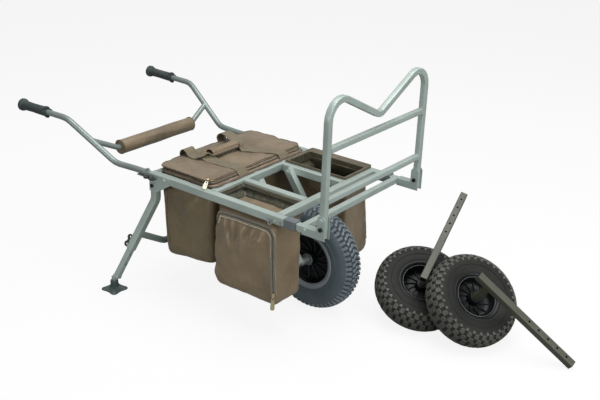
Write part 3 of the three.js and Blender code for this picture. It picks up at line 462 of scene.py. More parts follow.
@dataclass(frozen=True)
class ClothFinish(Finish):
    """Coated woven cloth: thread relief, slow creases, uneven colour and a soft sheen."""

    name: str
    colour: Tint
    roughness: float = 0.5
    threads: float = 700.0
    crease: float = 0.004
    crease_scale: tuple[float, float, float] = (14.0, 14.0, 7.0)
    crumple: float = 0.0006
    thread_depth: float = 0.00006
    sheen: float = 0.3
    coat: float = 0.3

    def draw(self, sketch: Sketch, shader: bpy.types.Node) -> None:
        """Joins weave, creases and shading."""
        weave = sketch.effect(WEAVE, Threads=self.threads)
        place = sketch.object_place()
        crease = sketch.noise(sketch.stretched(place, self.crease_scale, 0.4), 1.0, 5.0, 0.6)
        cells = sketch.add("ShaderNodeTexVoronoi", {"Vector": place, "Scale": 24.0}, feature="DISTANCE_TO_EDGE")
        crumple = sketch.times(sketch.spread(cells.outputs["Distance"], 0.0, 0.3), self.crumple)
        stain = sketch.noise(place, 7.0, 4.0, 0.6)
        dust = sketch.effect(DUST, Amount=0.14)["Mask"]
        colour = sketch.tones(sketch.spread(stain, 0.3, 0.7), self.colour, 0.88, 1.12)
        colour = sketch.blend(sketch.spread(weave["Tone"], 0.3, 0.7, 0.0, 0.35), colour, self.colour.times(0.8))
        sketch.feed_all(shader, {
            "Base Color": sketch.blend(dust, colour, CLOTH_DUST), "Sheen Weight": self.sheen, "Sheen Roughness": 0.4,
            "Roughness": sketch.spread(stain, 0.3, 0.7, self.roughness - 0.05, self.roughness + 0.1),
            "Coat Weight": self.coat, "Coat Roughness": 0.3,
        })
        relief = sketch.plus(sketch.times(weave["Height"], self.thread_depth), crumple)
        self.bump(sketch, shader, sketch.plus(relief, sketch.times(crease, self.crease)), 1.0)


@dataclass(frozen=True)
class RibbedFinish(Finish):
    """Tape, webbing or zip teeth: close ribs across the piece's own u direction."""

    name: str
    colour: Tint
    ribs: float = 400.0
    roughness: float = 0.6
    depth: float = 0.0002

    def draw(self, sketch: Sketch, shader: bpy.types.Node) -> None:
        """Joins ribs and their tone, darker between the ribs as painted shade in step with the rib relief, with a
        random cloud.
        """
        along = sketch.parts(sketch.add("ShaderNodeUVMap", uv_map="along").outputs[0])[0]
        wave = sketch.wave(along, self.ribs)
        cloud = sketch.times(sketch.noise(sketch.object_place(), 120.0, 3.0), 0.4)
        # The tone follows the rib wave: painted shade between the ribs.
        tone = sketch.plus(sketch.spread(wave, -1.0, 1.0, 0.0, 0.6), cloud)
        colour = sketch.tones(tone, self.colour, 0.78, 1.12)
        sketch.feed_all(shader, {"Base Color": colour, "Roughness": self.roughness, "Sheen Weight": 0.2})
        self.bump(sketch, shader, wave, self.depth)


PAINT = PaintFinish("grey green paint", Tint(182, 197, 191), Tint(222, 230, 226))
# The frame's paint made darker for the handle tubes, crossbar and brace: painted shade on the round tubes.
HANDLE_PAINT_SHADED = PaintFinish("handle paint", Tint(146, 160, 156), Tint(196, 204, 200), metallic=0.35)
ARM_PAINT = PaintFinish("olive paint", Tint(76, 77, 65), Tint(112, 112, 98), roughness=0.5, metallic=0.0, dust=0.06)
# Near black for the faces inside the spare arms' tubes: painted shade in the hollows.
ARM_HOLLOW_SHADE = PaintFinish("dark tube hollow", Tint(14, 14, 13), Tint(16, 16, 15), roughness=0.8, metallic=0.0, dust=0.0)
ZINC = MetalFinish("galvanised sheet", Tint(184, 190, 186))
PLATED = MetalFinish("plated steel", Tint(182, 187, 184), roughness=0.4, spangle=200.0)
DARK_STEEL = MetalFinish("darkened steel", Tint(52, 56, 58), roughness=0.4, spangle=200.0)
BRASS = MetalFinish("pale brass", Tint(214, 202, 160), roughness=0.32, spangle=300.0)
IVORY = MetalFinish("pale tab", Tint(236, 230, 208), roughness=0.4, spangle=300.0)
BLACK = MouldedFinish("black plastic", Tint(44, 52, 52), Tint(86, 96, 98), roughness=0.42)
FOOT_PLASTIC = MouldedFinish("foot plastic", Tint(64, 78, 78), Tint(120, 134, 132), roughness=0.4, wear=0.7)
SLEEVE = MouldedFinish("grey plastic", Tint(98, 106, 110), Tint(150, 157, 160), roughness=0.42)
RIM_SILVER = PaintFinish("rim silver", Tint(150, 160, 170), Tint(208, 214, 220), roughness=0.26, metallic=0.0, dust=0.0)
# A grey bead on the black spare rims: a painted highlight along the lip.
RIM_LINE_HIGHLIGHT = PaintFinish("rim edge", Tint(120, 122, 120), Tint(150, 152, 150), roughness=0.3, metallic=0.0, dust=0.0)
RIM_HUB = PaintFinish("rim hub", Tint(118, 126, 130), Tint(150, 158, 160), roughness=0.35, metallic=0.2, dust=0.0)
# The rib plastics are the rims' black plastic made lighter: a painted highlight on the raised ribs, and on the spare
# rims' hubs.
RIM_RIB_HIGHLIGHT = MouldedFinish(
    "rim rib plastic", Tint(66, 78, 83), Tint(94, 106, 110), roughness=0.4, dust=0.0, wear=0.1, specular=0.3
)
SPARE_RIB_HIGHLIGHT = MouldedFinish(
    "dark rib plastic", Tint(26, 29, 30), Tint(44, 48, 50), roughness=0.4, dust=0.0, wear=0.1, specular=0.3
)
RIM_BLACK = MouldedFinish(
    "rim plastic", Tint(15, 17, 18), Tint(30, 34, 36), roughness=0.36, grains=600.0, dust=0.0, wear=0.1, specular=0.3
)
GRIP_RUBBER = MouldedFinish(
    "grip rubber", Tint(60, 72, 72), Tint(98, 108, 108), roughness=0.6, grains=1200.0, ring_axis=(0.92, 0.0, -0.39)
)
TYRE_RUBBER = RubberFinish(
    "tyre rubber", Tint(88, 102, 108), Tint(122, 136, 142), roughness=0.46, dust=0.05, wear=0.2
)
# The block rubbers are the body rubber made lighter: a painted highlight on the raised blocks.
TYRE_BLOCK_HIGHLIGHT = RubberFinish("tyre block rubber", Tint(112, 124, 132), Tint(178, 190, 196), roughness=0.42)
# The groove rubbers are the body rubber made darker: painted shade between the blocks.
TYRE_GROOVE_SHADE = RubberFinish("tyre groove rubber", Tint(60, 69, 74), Tint(70, 80, 84), roughness=0.7)
SPARE_RUBBER = RubberFinish(
    "dark tyre rubber", Tint(30, 30, 29), Tint(44, 44, 42), roughness=0.56, dust=0.02, wear=0.1, specular=0.3
)
SPARE_BLOCK_HIGHLIGHT = RubberFinish(
    "dark block rubber", Tint(78, 78, 74), Tint(116, 116, 109), roughness=0.5, dust=0.05
)
SPARE_GROOVE_SHADE = RubberFinish(
    "dark groove rubber", Tint(36, 36, 34), Tint(48, 48, 46), roughness=0.7, dust=0.0
)
FOAM = MouldedFinish("black foam", Tint(30, 30, 30), Tint(60, 60, 58), roughness=0.9, grains=400.0, depth=0.001)
BAG_CLOTH = ClothFinish("brown bag cloth", Tint(142, 124, 97), roughness=0.34)
# The pocket cloth made darker for the main bag: painted shade on the bag that hangs below the frame.
MAIN_CLOTH_SHADED = ClothFinish("brown main bag cloth", Tint(124, 109, 81), roughness=0.34)
LID_CLOTH = ClothFinish(
    "brown lid cloth", Tint(134, 116, 91), roughness=0.34, crease=0.007, crease_scale=(11.0, 11.0, 11.0)
)
PAD_CLOTH = ClothFinish("brown sleeve cloth", Tint(132, 116, 92), crease_scale=(10.0, 26.0, 10.0))
COLLAR_CLOTH = ClothFinish(
    "olive collar cloth", Tint(98, 88, 66), roughness=0.4, crease=0.008, crease_scale=(26.0, 26.0, 14.0)
)
LINING = ClothFinish("olive lining", Tint(60, 60, 38), roughness=0.34, crease=0.012, crease_scale=(30.0, 30.0, 16.0))
WEBBING = RibbedFinish("olive webbing", Tint(126, 115, 90), ribs=420.0)
PIPING = RibbedFinish("brown piping", Tint(126, 108, 84), ribs=700.0)
DARK_PIPING = RibbedFinish("dark piping", Tint(52, 46, 38), ribs=700.0)
RIM_BINDING = RibbedFinish("rim binding", Tint(92, 84, 62), ribs=500.0)
FLANGE = RibbedFinish("flange binding", Tint(112, 94, 76), ribs=500.0)
ZIP_TAPE = RibbedFinish("zip tape", Tint(134, 128, 114), ribs=800.0, depth=0.00008)
ZIP_TEETH = RibbedFinish("zip teeth", Tint(74, 68, 58), ribs=450.0, roughness=0.4, depth=0.0006)
ZIP_CORD = RibbedFinish("zip cord", Tint(212, 202, 174), ribs=600.0)


# Modelling


Row = Sequence[bmesh.types.BMVert]


def only(obj: Object) -> Object:
    """Makes an object the only one selected, and active."""
    bpy.ops.object.select_all(action="DESELECT")
    obj.select_set(True)
    bpy.context.view_layer.objects.active = obj
    return obj


@contextmanager
def editing(obj: Object) -> Iterator[None]:
    """Edit mode on an object, with all of its mesh selected."""
    only(obj)
    bpy.ops.object.mode_set(mode="EDIT")
    bpy.ops.mesh.select_all(action="SELECT")
    yield
    bpy.ops.object.mode_set(mode="OBJECT")


def apply_modifiers(obj: Object) -> Object:
    """Applies every modifier of an object, from the first to the last."""
    only(obj)
    for modifier in list(obj.modifiers):
        bpy.ops.object.modifier_apply(modifier=modifier.name)
    return obj


def thicken(obj: Object, thickness: float, offset: float = 0.0, inner_slot: int = 0) -> Object:
    """Gives a sheet its thickness in metres, and its inner wall another material slot."""
    solid = obj.modifiers.new("thickness", "SOLIDIFY")
    solid.thickness, solid.offset, solid.material_offset = thickness, offset, inner_slot
    return apply_modifiers(obj)


def round_edges(obj: Object, width: float, degrees: float = 30.0) -> Object:
    """Rounds the edges that are sharper than an angle, by a width in metres."""
    bevel = obj.modifiers.new("rounding", "BEVEL")
    bevel.width, bevel.segments, bevel.limit_method = width, 2, "ANGLE"
    bevel.angle_limit = math.radians(degrees)
    return apply_modifiers(obj)


def skin(mesh: bmesh.types.BMesh, rows: Sequence[Row], closed: bool = True) -> list[bmesh.types.BMFace]:
    """Lays faces between neighbouring rows of vertices.

    Args:
        mesh: the mesh that gets the faces.
        rows: rows with as many vertices each.
        closed: whether the last vertex of a row joins its first.

    Returns:
        The new faces.
    """
    count = len(rows[0])
    steps = [(step, (step + 1) % count) for step in range(count if closed else count - 1)]
    return [
        mesh.faces.new((low[step], low[after], high[after], high[step]))
        for low, high in zip(rows, rows[1:]) for step, after in steps
    ]


def shrunk(mesh: bmesh.types.BMesh, ring: Row, share: float) -> list[bmesh.types.BMVert]:
    """A smaller copy of a ring about its middle."""
    middle = sum((vertex.co for vertex in ring), Vector()) / len(ring)
    return [mesh.verts.new(middle + (vertex.co - middle) * share) for vertex in ring]


def mesh_object(name: str, mesh: bmesh.types.BMesh) -> Object:
    """Makes an object from mesh code and frees the code's mesh."""
    data = bpy.data.meshes.new(name)
    bmesh.ops.recalc_face_normals(mesh, faces=mesh.faces)
    mesh.to_mesh(data)
    mesh.free()
    obj = bpy.data.objects.new(name, data)
    bpy.context.scene.collection.objects.link(obj)
    return obj


def lofted(name: str, rows: Iterable[Iterable[Vector]], closed: bool = True, capped: bool = False) -> Object:
    """Makes an object of the skin over rows of points.

    Args:
        name: the object's name.
        rows: rows with as many points each, in metres.
        closed: whether the last point of a row joins its first.
        capped: whether the first and the last row are filled.

    Returns:
        The object.
    """
    mesh = bmesh.new()
    rings = [[mesh.verts.new(point) for point in row] for row in rows]
    skin(mesh, rings, closed)
    for ring in (rings[0], rings[-1]) if capped else ():
        mesh.faces.new(ring)
    return mesh_object(name, mesh)


def dress(obj: Object, *finishes: Finish) -> Object:
    """Gives an object its finishes, in the order of its material slots."""
    obj.data.materials.clear()
    for finish in finishes:
        obj.data.materials.append(finish.material())
    return obj


def smooth(obj: Object, degrees: float = 40.0) -> Object:
    """Shades an object smooth, with edges sharper than the angle kept."""
    only(obj)
    bpy.ops.object.shade_smooth_by_angle(angle=math.radians(degrees))
    return obj


def stand_for(piece: Object, body: str, node: str) -> Object:
    """Lets a piece ride on a body in the place of a CAD node."""
    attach(piece, body)
    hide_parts(node)
    return piece


def join(name: str, pieces: Sequence[Object]) -> Object:
    """Joins pieces into one object with a new name."""
    bpy.ops.object.select_all(action="DESELECT")
    for piece in pieces:
        piece.select_set(True)
    bpy.context.view_layer.objects.active = pieces[0]
    if len(pieces) > 1:
        bpy.ops.object.join()
    pieces[0].name = name
    pieces[0].data.name = name
    return pieces[0]


def heading(path: Sequence[Vector], place: int) -> Vector:
    """The direction of a path at one of its points."""
    return path[min(place + 1, len(path) - 1)] - path[max(place - 1, 0)]


def ribbon(
    name: str, path: Sequence[Vector], across: Sequence[Vector], width: float, thickness: float
) -> Object:
    """A flat strap along a path, with its length in the map named along.

    Args:
        name: the piece's name.
        path: points of the middle line, in metres.
        across: the direction of the strap's width at each point.
        width: the strap's width, in metres.
        thickness: the strap's thickness, in metres.

    Returns:
        The strap.
    """
    mesh = bmesh.new()
    lengths = mesh.loops.layers.uv.new("along")
    rows, run = [], [0.0]
    for before, after in zip(path, path[1:]):
        run.append(run[-1] + (after - before).length)
    steps = (-0.5, -0.25, 0.0, 0.25, 0.5)
    for place, (point, direction) in enumerate(zip(path, across)):
        tangent = heading(path, place).normalized()
        level = (direction - tangent * direction.dot(tangent)).normalized()
        rows.append([mesh.verts.new(point + level * width * step) for step in steps])
    for place, (row, following) in enumerate(zip(rows, rows[1:])):
        for column in range(len(steps) - 1):
            face = mesh.faces.new((row[column], row[column + 1], following[column + 1], following[column]))
            values = ((place, column), (place, column + 1), (place + 1, column + 1), (place + 1, column))
            for loop, (at, step) in zip(face.loops, values):
                loop[lengths].uv = (run[at], width * steps[step])
    return smooth(round_edges(thicken(mesh_object(name, mesh), thickness), thickness * 0.3), 50.0)


def axle_circle(across: float, radius: float, count: int) -> list[Vector]:
    """Points in metres of a circle about the y axis, from sizes in millimetres."""
    return [on_wheel(across, radius, TURN * step / count) for step in range(count)]


def bead(name: str, path: Sequence[Vector], radius: float, closed: bool, sides: int = 8) -> Object:
    """A round cord sewn along a path, with its length in the map named along.

    Args:
        name: the piece's name.
        path: points of the middle line, in metres.
        radius: the cord's radius, in metres.
        closed: whether the last point joins the first.
        sides: the number of sides around the cord.

    Returns:
        The cord's mesh.
    """
    mesh = bmesh.new()
    lengths = mesh.loops.layers.uv.new("along")
    count = len(path)
    rings, run, total = [], [], 0.0
    side: Vector | None = None
    for place, point in enumerate(path):
        before = path[place - 1] if place or closed else point
        after = path[(place + 1) % count] if place + 1 < count or closed else point
        tangent = (after - before).normalized()
        guess = side if side is not None else tangent.orthogonal()
        side = (guess - tangent * guess.dot(tangent)).normalized()
        up = tangent.cross(side)
        turns = [TURN * step / sides for step in range(sides)]
        rings.append([mesh.verts.new(point + (side * math.cos(t) + up * math.sin(t)) * radius) for t in turns])
        run.append(total)
        total += (path[(place + 1) % count] - point).length
    pairs = count if closed else count - 1
    for place in range(pairs):
        ring, following = rings[place], rings[(place + 1) % count]
        for step in range(sides):
            after = (step + 1) % sides
            face = mesh.faces.new((ring[step], ring[after], following[after], following[step]))
            ends = (run[place], run[place], run[place] + (path[(place + 1) % count] - path[place]).length)
            for loop, value in zip(face.loops, (*ends, ends[-1])):
                loop[lengths].uv = (value, 0.0)
    if not closed:
        mesh.faces.new(rings[0])
        mesh.faces.new(rings[-1])
    return smooth(mesh_object(name, mesh), 60.0)


def smooth_path(points: Sequence[Sequence[float]], steps: int) -> list[Vector]:
    """Points of a smooth curve through the given ones, with a number of steps between each two."""
    keys = [Vector(point) for point in points]
    curve = []
    for place in range(len(keys) - 1):
        before, start = keys[max(place - 1, 0)], keys[place]
        end, after = keys[place + 1], keys[min(place + 2, len(keys) - 1)]
        for step in range(steps):
            t = step / steps
            curve.append(
                (start * 2 + (end - before) * t + (before * 2 - start * 5 + end * 4 - after) * t * t
                 + (start * 3 - before - end * 3 + after) * t**3) / 2
            )
    return [*curve, keys[-1]]


class Surface:
    """Finds places on a sewn form, so that what is sewn on it lies on it."""

    def __init__(self, form: Object) -> None:
        """Keeps the form's faces."""
        mesh = form.data
        corners = [vertex.co.copy() for vertex in mesh.vertices]
        self.tree = BVHTree.FromPolygons(corners, [tuple(face.vertices) for face in mesh.polygons])

    def lay(self, points: Iterable[Vector], lift: float) -> tuple[list[Vector], list[Vector]]:
        """The nearest places on the form, lifted off it, and the form's normals there."""
        found = [self.tree.find_nearest(point) for point in points]
        return [place + normal * lift for place, normal, *_ in found], [normal for _, normal, *_ in found]

    def keep_off(self, points: Iterable[Vector], lift: float) -> list[Vector]:
        """The same points, with those that sink into the form moved out of it."""
        kept = []
        for point in points:
            place, normal, _, _ = self.tree.find_nearest(point)
            outside = (point - place).dot(normal)
            kept.append(point if outside > lift else place + normal * lift)
        return kept


def sewn_tape(
    name: str, surface: Surface, points: Sequence[Vector], width: float, lift: float
) -> Object:
    """A tape that lies on a form along a path, all in metres."""
    path, normals = surface.lay(points, lift)
    across = [normal.cross(heading(path, place)) for place, normal in enumerate(normals)]
    return ribbon(name, path, across, width, TAPE_THICKNESS)


def sewn_cord(
    name: str, surface: Surface, points: Iterable[Vector], radius: float, lift: float, finish: Finish,
    closed: bool = False, sides: int = 6,
) -> Object:
    """A cord laid on a form along points and dressed, all in metres."""
    return dress(bead(name, surface.lay(points, lift)[0], radius, closed, sides), finish)


def offset_path(surface: Surface, points: Sequence[Vector], shift: float, lift: float) -> list[Vector]:
    """A path beside another one on a form, shifted across it, all in metres."""
    path, normals = surface.lay(points, 0.0)
    moved = [
        point + normal.cross(heading(path, place)).normalized() * shift
        for place, (point, normal) in enumerate(zip(path, normals))
    ]
    return surface.lay(moved, lift)[0]


@dataclass(frozen=True)
class ZipPull:
    """A slider with a flat tab that has a hole near its slider."""

    name: str
    place: Vector
    reach: Vector
    facing: Vector
    length: float = 33.0
    width: float = 10.0
    tab_finish: Finish = BRASS
    taper: float = 0.65
    plate: float = 1.6
    rounding: float = 0.7

    def axes(self) -> Matrix:
        """From the pull's own axes, with x along the tab and z off the cloth, to the frame."""
        along = self.reach.normalized()
        out = (self.facing - along * self.facing.dot(along)).normalized()
        turned = Matrix((along, out.cross(along), out)).transposed().to_4x4()
        return Matrix.Translation(self.place) @ turned

    def tab(self) -> Object:
        """The flat tab."""
        count, half, wide = 28, self.length / 2, self.width / 2
        rings: list[list[Vector]] = [[], [], []]
        for step in range(count):
            angle = TURN * step / count
            cosine, sine = math.cos(angle), math.sin(angle)
            x = half + half * math.copysign(abs(cosine) ** 0.5, cosine)
            share = self.taper + (1 - self.taper) * x / self.length
            y = wide * share * math.copysign(abs(sine) ** 0.6, sine)
            hole = (half * 0.4 + half * 0.16 * cosine, wide * 0.32 * sine)
            middle = ((x + hole[0]) / 2 * 0.6 + x * 0.4, (y + hole[1]) / 2 * 0.6 + y * 0.4)
            for ring, (across, along) in zip(rings, ((x, y), middle, hole)):
                ring.append(Vector((across, along, 0.0)) * MM)
        tab = thicken(lofted(f"{self.name}_tab", rings), self.plate * MM)
        return dress(round_edges(tab, self.plate / 4 * MM), self.tab_finish)

    def slider(self) -> Object:
        """The slider body with its bridge."""
        blocks = []
        for size, centre in (((11, 9, 2), (-3, 0, -2.5)), ((11, 9, 2), (-3, 0, 0.5)), ((9, 2.4, 3), (-3, 0, 2.5))):
            bpy.ops.object.select_all(action="DESELECT")
            bpy.ops.mesh.primitive_cube_add(size=1, location=[value * MM for value in centre])
            block = bpy.context.object
            block.scale = [value * MM for value in size]
            bpy.ops.object.transform_apply(location=True, rotation=True, scale=True)
            with editing(block):
                bpy.ops.mesh.bevel(offset=self.rounding * MM, segments=2)
            blocks.append(block)
        return dress(join(f"{self.name}_slider", blocks), BRASS)

    def build(self) -> Object:
        """Builds the pull in place."""
        pull = join(self.name, [self.tab(), self.slider()])
        pull.data.transform(self.axes())
        return smooth(pull, 40.0)


def hand_over(pieces: Iterable[Object], body: str) -> None:
    """Lets sewn pieces ride on a body."""
    for piece in pieces:
        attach(piece, body)


def rounded_ring(
    rear: float, front: float, inner: float, outer: float, corner: float, on_side: int, on_corner: int
) -> list[tuple[float, float]]:
    """Points around a rectangle with round corners, from the middle of one corner on."""
    points: list[tuple[float, float]] = []
    centres = (
        (front - corner, outer - corner), (rear + corner, outer - corner),
        (rear + corner, inner + corner), (front - corner, inner + corner),
    )
    for turn, (x, y) in enumerate(centres):
        for step in range(on_corner + 1):
            angle = (turn + step / on_corner) * math.pi / 2
            points.append((x + corner * math.cos(angle), y + corner * math.sin(angle)))
        x_next, y_next = centres[(turn + 1) % 4]
        angle = (turn + 1) * math.pi / 2
        start = (x + corner * math.cos(angle), y + corner * math.sin(angle))
        end = (x_next + corner * math.cos(angle), y_next + corner * math.sin(angle))
        for step in range(1, on_side):
            share = step / on_side
            points.append((start[0] + (end[0] - start[0]) * share, start[1] + (end[1] - start[1]) * share))
    return points


@dataclass(frozen=True)
class Level:
    """One ring of a sewn form: its height and its four sides, in deck millimetres."""

    height: float
    rear: float
    front: float
    inner: float
    outer: float
    corner: float
    tip: float = 0.0


@dataclass(frozen=True)
class Crease:
    """A fold in cloth: a line between two deck places, with its depth and breadth."""

    start: tuple[float, float, float]
    end: tuple[float, float, float]
    depth: float
    breadth: float

    def shift(self, point: Vector) -> float:
        """How far the fold moves a point, outwards where it is above zero."""
        first, last = Vector(self.start), Vector(self.end)
        line = last - first
        share = max(0.0, min(1.0, (point - first).dot(line) / line.length_squared))
        gap = (point - (first + line * share)).length
        fade = math.sin(math.pi * min(1.0, max(0.0, 0.08 + 0.84 * share)))
        return self.depth * fade * math.exp(-((gap / self.breadth) ** 2))


@dataclass
class SewnShell:
    """A form of cloth lofted through rings, moved in and out by creases."""

    deck: Deck
    levels: Sequence[Level]
    creases: Sequence[Crease] = ()
    on_side: int = 22
    on_corner: int = 5
    between: int = 5
    lump: float = 2.6
    lump_size: float = 62.0

    def swell(self, point: Vector) -> float:
        """How far the cloth's unevenness moves a point, on two scales."""
        near = noise.noise(point / self.lump_size)
        return self.lump * (near + 0.45 * noise.noise(point * 2.3 / self.lump_size))

    def rings(self) -> list[list[Vector]]:
        """The rings' points in deck millimetres, with rings put in between by a smooth curve."""
        keys = [(lv.height, lv.rear, lv.front, lv.inner, lv.outer, lv.corner, lv.tip) for lv in self.levels]
        rows = []
        for place in range(len(keys) - 1):
            around = [keys[max(place - 1, 0)], keys[place], keys[place + 1], keys[min(place + 2, len(keys) - 1)]]
            for step in range(self.between):
                rows.append([self._curve(step / self.between, *values) for values in zip(*around)])
        rows.append(list(keys[-1]))
        return [self._ring(*row) for row in rows]

    @staticmethod
    def _curve(share: float, before: float, start: float, end: float, after: float) -> float:
        """A value between two levels, on a curve that leans on their neighbours half as much."""
        lean_in, lean_out = (end - before) * 0.35, (after - start) * 0.35
        square, cube = share * share, share**3
        return (
            (2 * cube - 3 * square + 1) * start + (cube - 2 * square + share) * lean_in
            + (3 * square - 2 * cube) * end + (cube - square) * lean_out
        )

    def _ring(
        self, height: float, rear: float, front: float, inner: float, outer: float, corner: float, tip: float
    ) -> list[Vector]:
        """One ring's points in deck millimetres, lower at its rear by the tip."""
        flat = rounded_ring(rear, front, inner, outer, corner, self.on_side, self.on_corner)
        return [Vector((x, y, height - tip * (front - x) / (front - rear))) for x, y in flat]

    def build(
        self, name: str, thickness: float, *finishes: Finish, bottom: bool = True, top: bool = False
    ) -> Object:
        """Builds the shell.

        Args:
            name: the piece's name.
            thickness: the cloth's thickness in millimetres, or 0 for a closed form.
            finishes: the outer finish and, where there is one, the lining.
            bottom: whether the first ring is filled.
            top: whether the last ring is filled.

        Returns:
            The shell, smooth.
        """
        mesh = bmesh.new()
        rings = [[mesh.verts.new(point) for point in ring] for ring in self.rings()]
        skin(mesh, rings)
        for wanted, ring in ((bottom, rings[0]), (top, rings[-1])):
            if wanted:
                self._fill(mesh, ring)
        bmesh.ops.recalc_face_normals(mesh, faces=mesh.faces)
        mesh.normal_update()
        shifts = []
        for vertex in mesh.verts:
            folds = sum(crease.shift(vertex.co) for crease in self.creases)
            shifts.append(vertex.normal * (folds + self.swell(vertex.co)))
        for vertex, shift in zip(mesh.verts, shifts):
            vertex.co = self.deck.place(*(vertex.co + shift))
        obj = dress(mesh_object(name, mesh), *finishes)
        if thickness:
            thicken(obj, thickness * MM, -1.0, 1)
        return smooth(obj, 70.0)

    @staticmethod
    def _fill(mesh: bmesh.types.BMesh, ring: list[bmesh.types.BMVert]) -> None:
        """Closes a ring with smaller rings towards its middle."""
        rings = [ring, *(shrunk(mesh, ring, tenths / 10) for tenths in range(9, 0, -1))]
        skin(mesh, rings)
        mesh.faces.new(rings[-1])


# Wheels


@dataclass(frozen=True)
class Section:
    """The outline of a tyre's body: crown, widest place and bead, in millimetres."""

    radius: float
    half_width: float
    bead_radius: float
    bead_half: float
    widest_share: float = 0.45
    squareness: float = 2.3
    samples: int = 24

    def outline(self) -> list[tuple[float, float]]:
        """Places across and radii from the middle of the crown to one bead."""
        widest = self.bead_radius + (self.radius - self.bead_radius) * self.widest_share
        power = 2 / self.squareness
        points = []
        for step in range(self.samples + 1):
            turn = math.pi / 2 * step / self.samples
            rise = (self.radius - widest) * max(0.0, math.cos(turn)) ** power
            points.append((self.half_width * math.sin(turn) ** power, widest + rise))
        for step in range(1, self.samples + 1):
            turn = math.pi / 2 * step / self.samples
            across = self.bead_half + (self.half_width - self.bead_half) * max(0.0, math.cos(turn)) ** power
            points.append((across, widest - (widest - self.bead_radius) * math.sin(turn) ** power))
        return points

    def point(self, way: float, lift: float) -> tuple[float, float]:
        """The place across and the radius at a way down from the crown, lifted off the body."""
        outline = self.outline()
        left = abs(way)
        for (x0, r0), (x1, r1) in zip(outline, outline[1:]):
            run = math.hypot(x1 - x0, r1 - r0)
            if left <= run or (x1, r1) == outline[-1]:
                share = left / run
                across, radius = x0 + (x1 - x0) * share, r0 + (r1 - r0) * share
                out_across, out_radius = (r0 - r1) / run, (x1 - x0) / run
                return math.copysign(across + out_across * lift, way or 1.0), radius + out_radius * lift
            left -= run
        return outline[-1]


@dataclass(frozen=True)
class TreadBlock:
    """One block: corners as way down from the crown and way round, and its height at both ends."""

    corners: tuple[tuple[float, float], ...]
    height: float
    low_height: float
    stagger: float = 0.0


@dataclass
class Tyre:
    """A tyre about its own y axis: a spun body and raised blocks on both halves."""

    node: str
    section: Section
    pitches: int
    blocks: Sequence[TreadBlock]
    finish: Finish
    block_finish: Finish
    groove_finish: Finish
    ridge: float
    steps: int = 96
    ring_radius: float = 1.1
    root: float = 1.5
    top_inset: float = 1.3

    def body(self) -> Object:
        """Spins the outline round the axle; the crown's faces between the blocks take the darker groove finish, painted
        shade in the grooves.
        """
        half = self.section.outline()
        outline = [*[(-across, radius) for across, radius in reversed(half[1:])], *half]
        obj = spun(self.node, outline, self.steps)
        dress(obj, self.finish, self.groove_finish)
        end = max(way for kind in self.blocks for way, _ in kind.corners) - 6
        limit = self.section.point(end, 0.0)[1] * MM
        for face in obj.data.polygons:
            # Faces of the crown between the blocks: painted shade in the grooves.
            if math.hypot(face.center.x, face.center.z) > limit:
                face.material_index = 1
        return smooth(obj, 50.0)

    def block(self, kind: TreadBlock, half: int) -> Object:
        """Models one block on the body and copies it round the tyre, in the lighter block finish: a painted highlight
        on the blocks.
        """
        ways = [way for way, _ in kind.corners]
        span = max(ways) - min(ways)
        middle_way = sum(ways) / len(ways)
        middle_round = sum(turn for _, turn in kind.corners) / len(ways)
        rings = []
        for inset, lifted in ((0.0, False), (0.0, True), (self.top_inset, True)):
            ring = []
            for way, turn in kind.corners:
                share = (way - min(ways)) / span
                height = kind.height + (kind.low_height - kind.height) * share
                lift = -self.root if not lifted else height - (0.0 if inset else min(1.2, height * 0.4))
                gap = math.hypot(way - middle_way, turn - middle_round)
                pull = 1 - inset / gap
                at_way, at_turn = middle_way + (way - middle_way) * pull, middle_round + (turn - middle_round) * pull
                across, radius = self.section.point(at_way * half, lift)
                angle = at_turn / self.section.radius + TURN / self.pitches * kind.stagger * half
                ring.append(on_wheel(across, radius, angle))
            rings.append(ring)
        return dress(copy_round(lofted("tread_block", rings, capped=True), self.pitches), self.block_finish)

    def rings(self) -> list[Object]:
        """The thin raised ring on each sidewall."""
        pieces = []
        for half in (-1, 1):
            across, radius = self.section.point(self.ridge * half, 0.2)
            path = axle_circle(across, radius, self.steps)
            pieces.append(dress(bead("sidewall_ring", path, self.ring_radius * MM, True, 6), self.finish))
        return pieces

    def build(self, placing: Matrix, body: str) -> Object:
        """Builds the whole tyre and sets it on its wheel.

        Args:
            placing: from the tyre's own axes to the frame.
            body: the CAD body that it turns with.

        Returns:
            The tyre.
        """
        blocks = [self.block(kind, half) for kind in self.blocks for half in (-1, 1)]
        tyre = join(f"{self.node}_treaded", [self.body(), *blocks, *self.rings()])
        tyre.data.transform(placing)
        return stand_for(tyre, body, self.node)


def on_wheel(across: float, radius: float, angle: float) -> Vector:
    """A point in metres about the y axis, from a place across and a radius in millimetres."""
    return Vector((radius * math.sin(angle), across, radius * math.cos(angle))) * MM


def copy_round(obj: Object, count: int) -> Object:
    """Copies an object's mesh round the y axis, to so many in all."""
    with editing(obj):
        whole = TURN / count * (count - 1)
        bpy.ops.mesh.spin(steps=count - 1, dupli=True, angle=whole, center=(0, 0, 0), axis=(0, 1, 0))
    return obj


def spun(name: str, outline: Sequence[tuple[float, float]], steps: int) -> Object:
    """Spins a closed outline of places across and radii a whole turn about the y axis."""
    mesh = bmesh.new()
    points = [mesh.verts.new(on_wheel(across, radius, 0.0)) for across, radius in outline]
    for first, second in zip(points, [*points[1:], points[0]]):
        mesh.edges.new((first, second))
    obj = mesh_object(name, mesh)
    with editing(obj):
        bpy.ops.mesh.spin(steps=steps, angle=TURN, center=(0, 0, 0), axis=(0, 1, 0))
        bpy.ops.mesh.select_all(action="SELECT")
        bpy.ops.mesh.remove_doubles(threshold=MERGE_GAP)
        bpy.ops.mesh.normals_make_consistent(inside=False)
    return obj


